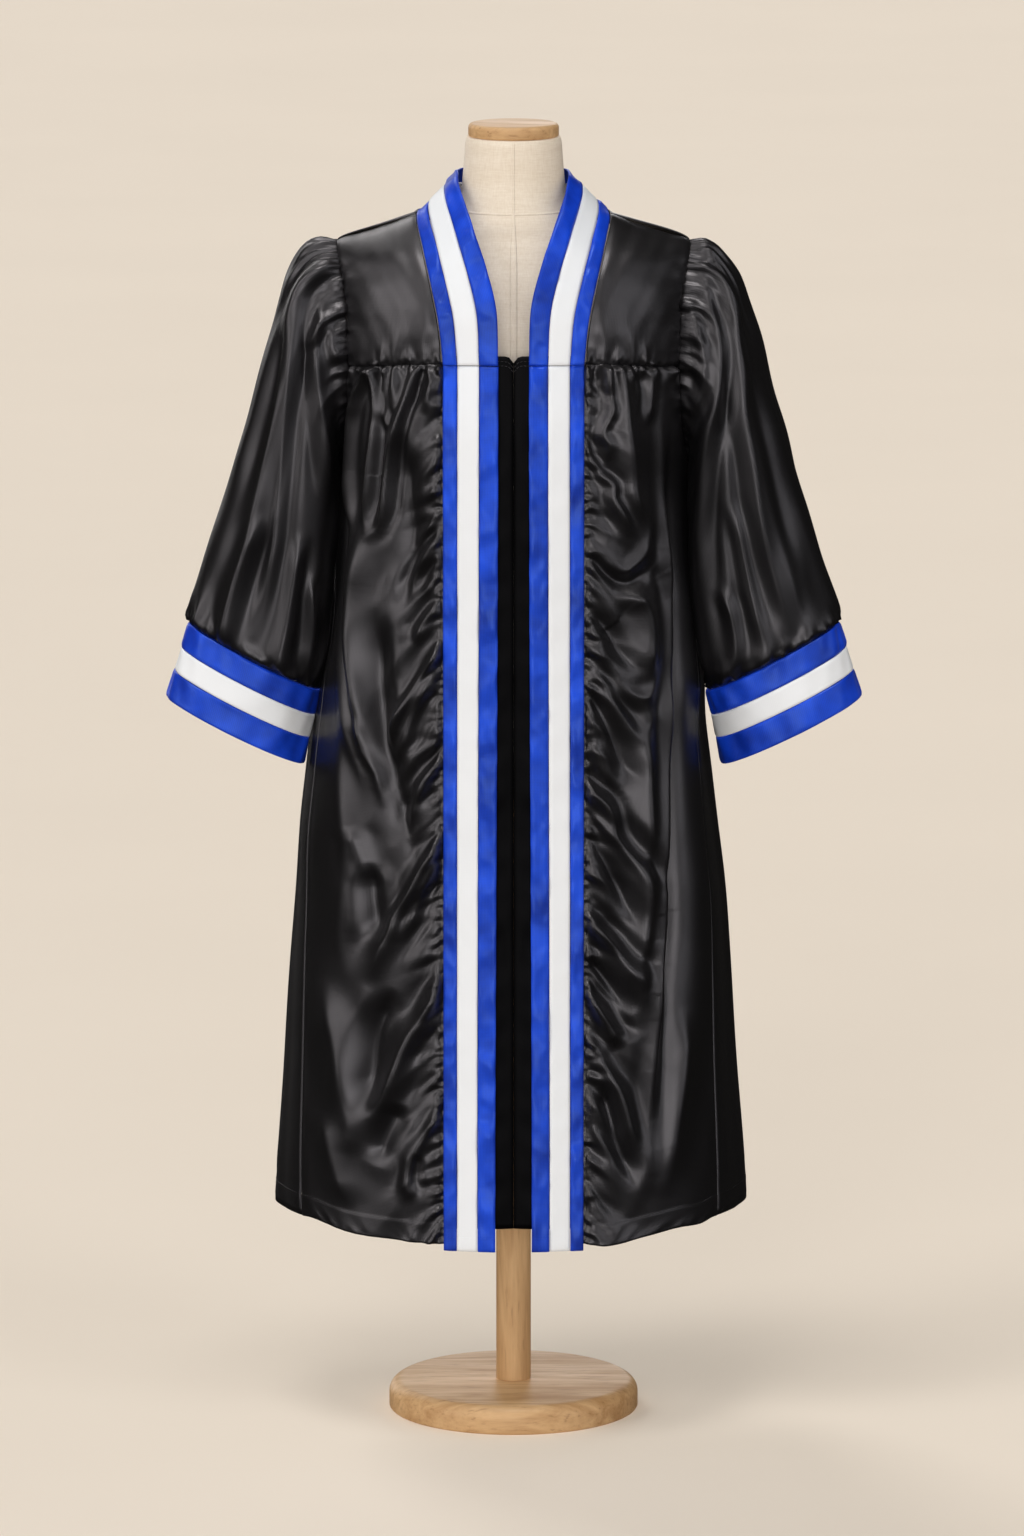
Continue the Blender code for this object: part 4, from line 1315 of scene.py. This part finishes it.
def addTurned(part, finish):
    radius, foot, top, footRound, topRound = stand[part]
    bm = bmesh.new()
    bmesh.ops.create_cone(bm, cap_ends=True, segments=stand["sides"], radius1=radius, radius2=radius,
                          depth=top - foot)
    bmesh.ops.translate(bm, verts=bm.verts, vec=(0.0, 0.0, (top + foot) / 2))
    for level, size in ((foot, footRound), (top, topRound)):
        rim = [e for e in bm.edges if all(abs(v.co.z - level) < 1e-5 for v in e.verts)]
        bmesh.ops.bevel(bm, geom=rim, offset=size, segments=7, profile=0.5, affect="EDGES", material=-1)
    attach(fromMesh("oak_" + part, bm, 40.0), finish, "light_oak", "form_" + part)


for part, (stretch, shift) in stand["grain"].items():
    addTurned(part, oakFinish("oak" + part.capitalize(), oakLook, stretch, shift))
print("stand made")


# rows of stitches along the hems, the bands' feet and the insert's top
stitch = {
    "long": 0.0030,
    "gap": 0.0016,
    "thick": 0.00030,
    "bandHem": 0.0165,       # above the bands' foot
    "insertRows": (0.006, 0.011),
    "insertHalf": 0.030,
}


def stitchRow(bm, points):
    steps = np.r_[0.0, np.cumsum(np.linalg.norm(np.diff(points, axis=0), axis=1))]
    for start in np.arange(stitch["gap"], steps[-1] - stitch["long"], stitch["long"] + stitch["gap"]):
        ends = [Vector([np.interp(s, steps, points[:, k]) for k in range(3)])
                for s in (start, start + stitch["long"])]
        made = bmesh.ops.create_cone(bm, cap_ends=True, segments=5, radius1=stitch["thick"],
                                     radius2=stitch["thick"], depth=stitch["long"], calc_uvs=True)
        turn = Vector((0, 0, 1)).rotation_difference((ends[1] - ends[0]).normalized()).to_matrix()
        bmesh.ops.rotate(bm, verts=made["verts"], cent=(0, 0, 0), matrix=turn)
        bmesh.ops.translate(bm, verts=made["verts"], vec=(ends[0] + ends[1]) / 2)


def sheetLine(name, grid, share):
    # a line across a finished sheet, at one share of its length from the top
    rows = meshSpots(bpy.data.objects[name].data).reshape(grid[1] + 1, grid[0] + 1, 3)[::-1]
    low = min(int(share * grid[1]), grid[1] - 1)
    return mix(rows[low], rows[low + 1], share * grid[1] - low)


def stitches(name, lines):
    bm = bmesh.new()
    bm.loops.layers.uv.new("cloth")
    for line in lines:
        stitchRow(bm, line)
    return fromMesh(name, bm)


hemShare = 1.0 - gown["hemDepth"] / (gown["yokeSeam"] - gown["hemFront"])
footShare = 1.0 - stitch["bandHem"] / (gown["yokeSeam"] - gown["bandFoot"])
hems = [sheetLine("satin_back", back["grid"], hemShare)]
for label, side in sides:
    hems.append(sheetLine("satin_front_" + label, front["grid"], hemShare))
    for low in stitch["insertRows"]:
        line = sheetLine("satin_insert_" + label, insert["grid"], low / insert["cut"][1])
        hems.append(line[np.abs(line[:, 0]) < stitch["insertHalf"]])
attach(stitches("thread_black", hems), blackSatin, "black_satin")
for colour, ribbons in (("blue", ("outer", "inner")), ("white", ("white",))):
    feet = [sheetLine("ribbon_band_" + label + "_" + ribbon, band["lowerGrid"], footShare)
            for label, side in sides for ribbon in ribbons]
    attachRibbon(stitches("thread_" + colour, feet), colour)
print("stitches made")


# camera, floor and light
studio = {
    "cameraPlace": (-0.0018, -10.8, 2.75),
    "cameraPitch": 10.4,     # degrees below level
    "lens": 219.6,
    "sensor": 36.0,
    "floorSize": 400.0,
    "floorColour": (0.86, 0.765, 0.655),
    "world": (0.93, 0.87, 0.78),
    "worldStrength": 0.02,
    "softness": 20.0,        # width of each lamp in the sky, in degrees
    # name, turn, colour, heights in degrees with strengths: soft lamps round the gown
    "strips": (("front", -12.0, (1.0, 0.99, 0.975), ((4, 0.42), (26, 0.26), (48, 0.08))),
               ("frontRight", 8.0, (1.0, 0.99, 0.98), ((3, 0.62),)),
               ("left", -58.0, (1.0, 0.98, 0.96), ((8, 0.42), (32, 0.54))),
               ("right", 52.0, (0.97, 0.98, 1.0), ((10, 0.28), (34, 0.24))),
               ("behind", -152.0, (1.0, 0.98, 0.96), ((10, 0.24), (40, 0.60))),
               ("behindRight", 176.0, (0.97, 0.98, 1.0), ((14, 0.28),)),
               ("over", -20.0, (1.0, 0.985, 0.955), ((76, 0.55),)),
               ("overSoft", -20.0, (1.0, 0.985, 0.955), ((78, 0.95),))),
    "shadowless": "overSoft",
}


def floorFinish():
    finish = Finish("studioFloor")
    paler = tuple(c * 1.05 for c in studio["floorColour"])
    cloud = finish.noise(finish.place(), 1.2, 4.0)
    return finish.surface({"Base Color": finish.blend(cloud, studio["floorColour"], paler),
                           "Roughness": 0.9, "Specular IOR Level": 0.1})


def addLight(name, turn, lift, strength, colour, shadow):
    # turn is degrees from straight ahead, to the right as the camera sees it
    lamp = bpy.data.lights.new(name, "SUN")
    lamp.energy = strength
    lamp.color = colour
    lamp.angle = math.radians(studio["softness"])
    lamp.use_shadow = shadow
    addObject(name, lamp).rotation_euler = (math.radians(90.0 - lift), 0.0, math.radians(turn))


def addStudio():
    scene = bpy.context.scene
    scene.view_settings.view_transform = "Standard"
    bm = bmesh.new()
    bmesh.ops.create_grid(bm, x_segments=4, y_segments=4, size=studio["floorSize"] / 2)
    floor = fromMesh("studio_floor", bm)
    floor.data.materials.append(floorFinish())
    floor.visible_glossy = False     # the satin mirrors the lamps, not the bright floor
    world = bpy.data.worlds.new("studio")
    world.use_nodes = True
    sky = world.node_tree.nodes["Background"].inputs
    sky["Color"].default_value = (*studio["world"], 1.0)
    sky["Strength"].default_value = studio["worldStrength"]
    scene.world = world
    for name, turn, colour, lamps in studio["strips"]:
        for lift, strength in lamps:
            addLight(name + str(lift), turn, lift, strength, colour, name != studio["shadowless"])
    camera = bpy.data.cameras.new("camera")
    camera.lens = studio["lens"]
    camera.sensor_width = studio["sensor"]
    camera.clip_end = 500.0
    holder = addObject("camera", camera)
    holder.location = studio["cameraPlace"]
    holder.rotation_euler = (math.radians(90.0 - studio["cameraPitch"]), 0.0, 0.0)
    scene.camera = holder


addStudio()
print("studio ready")
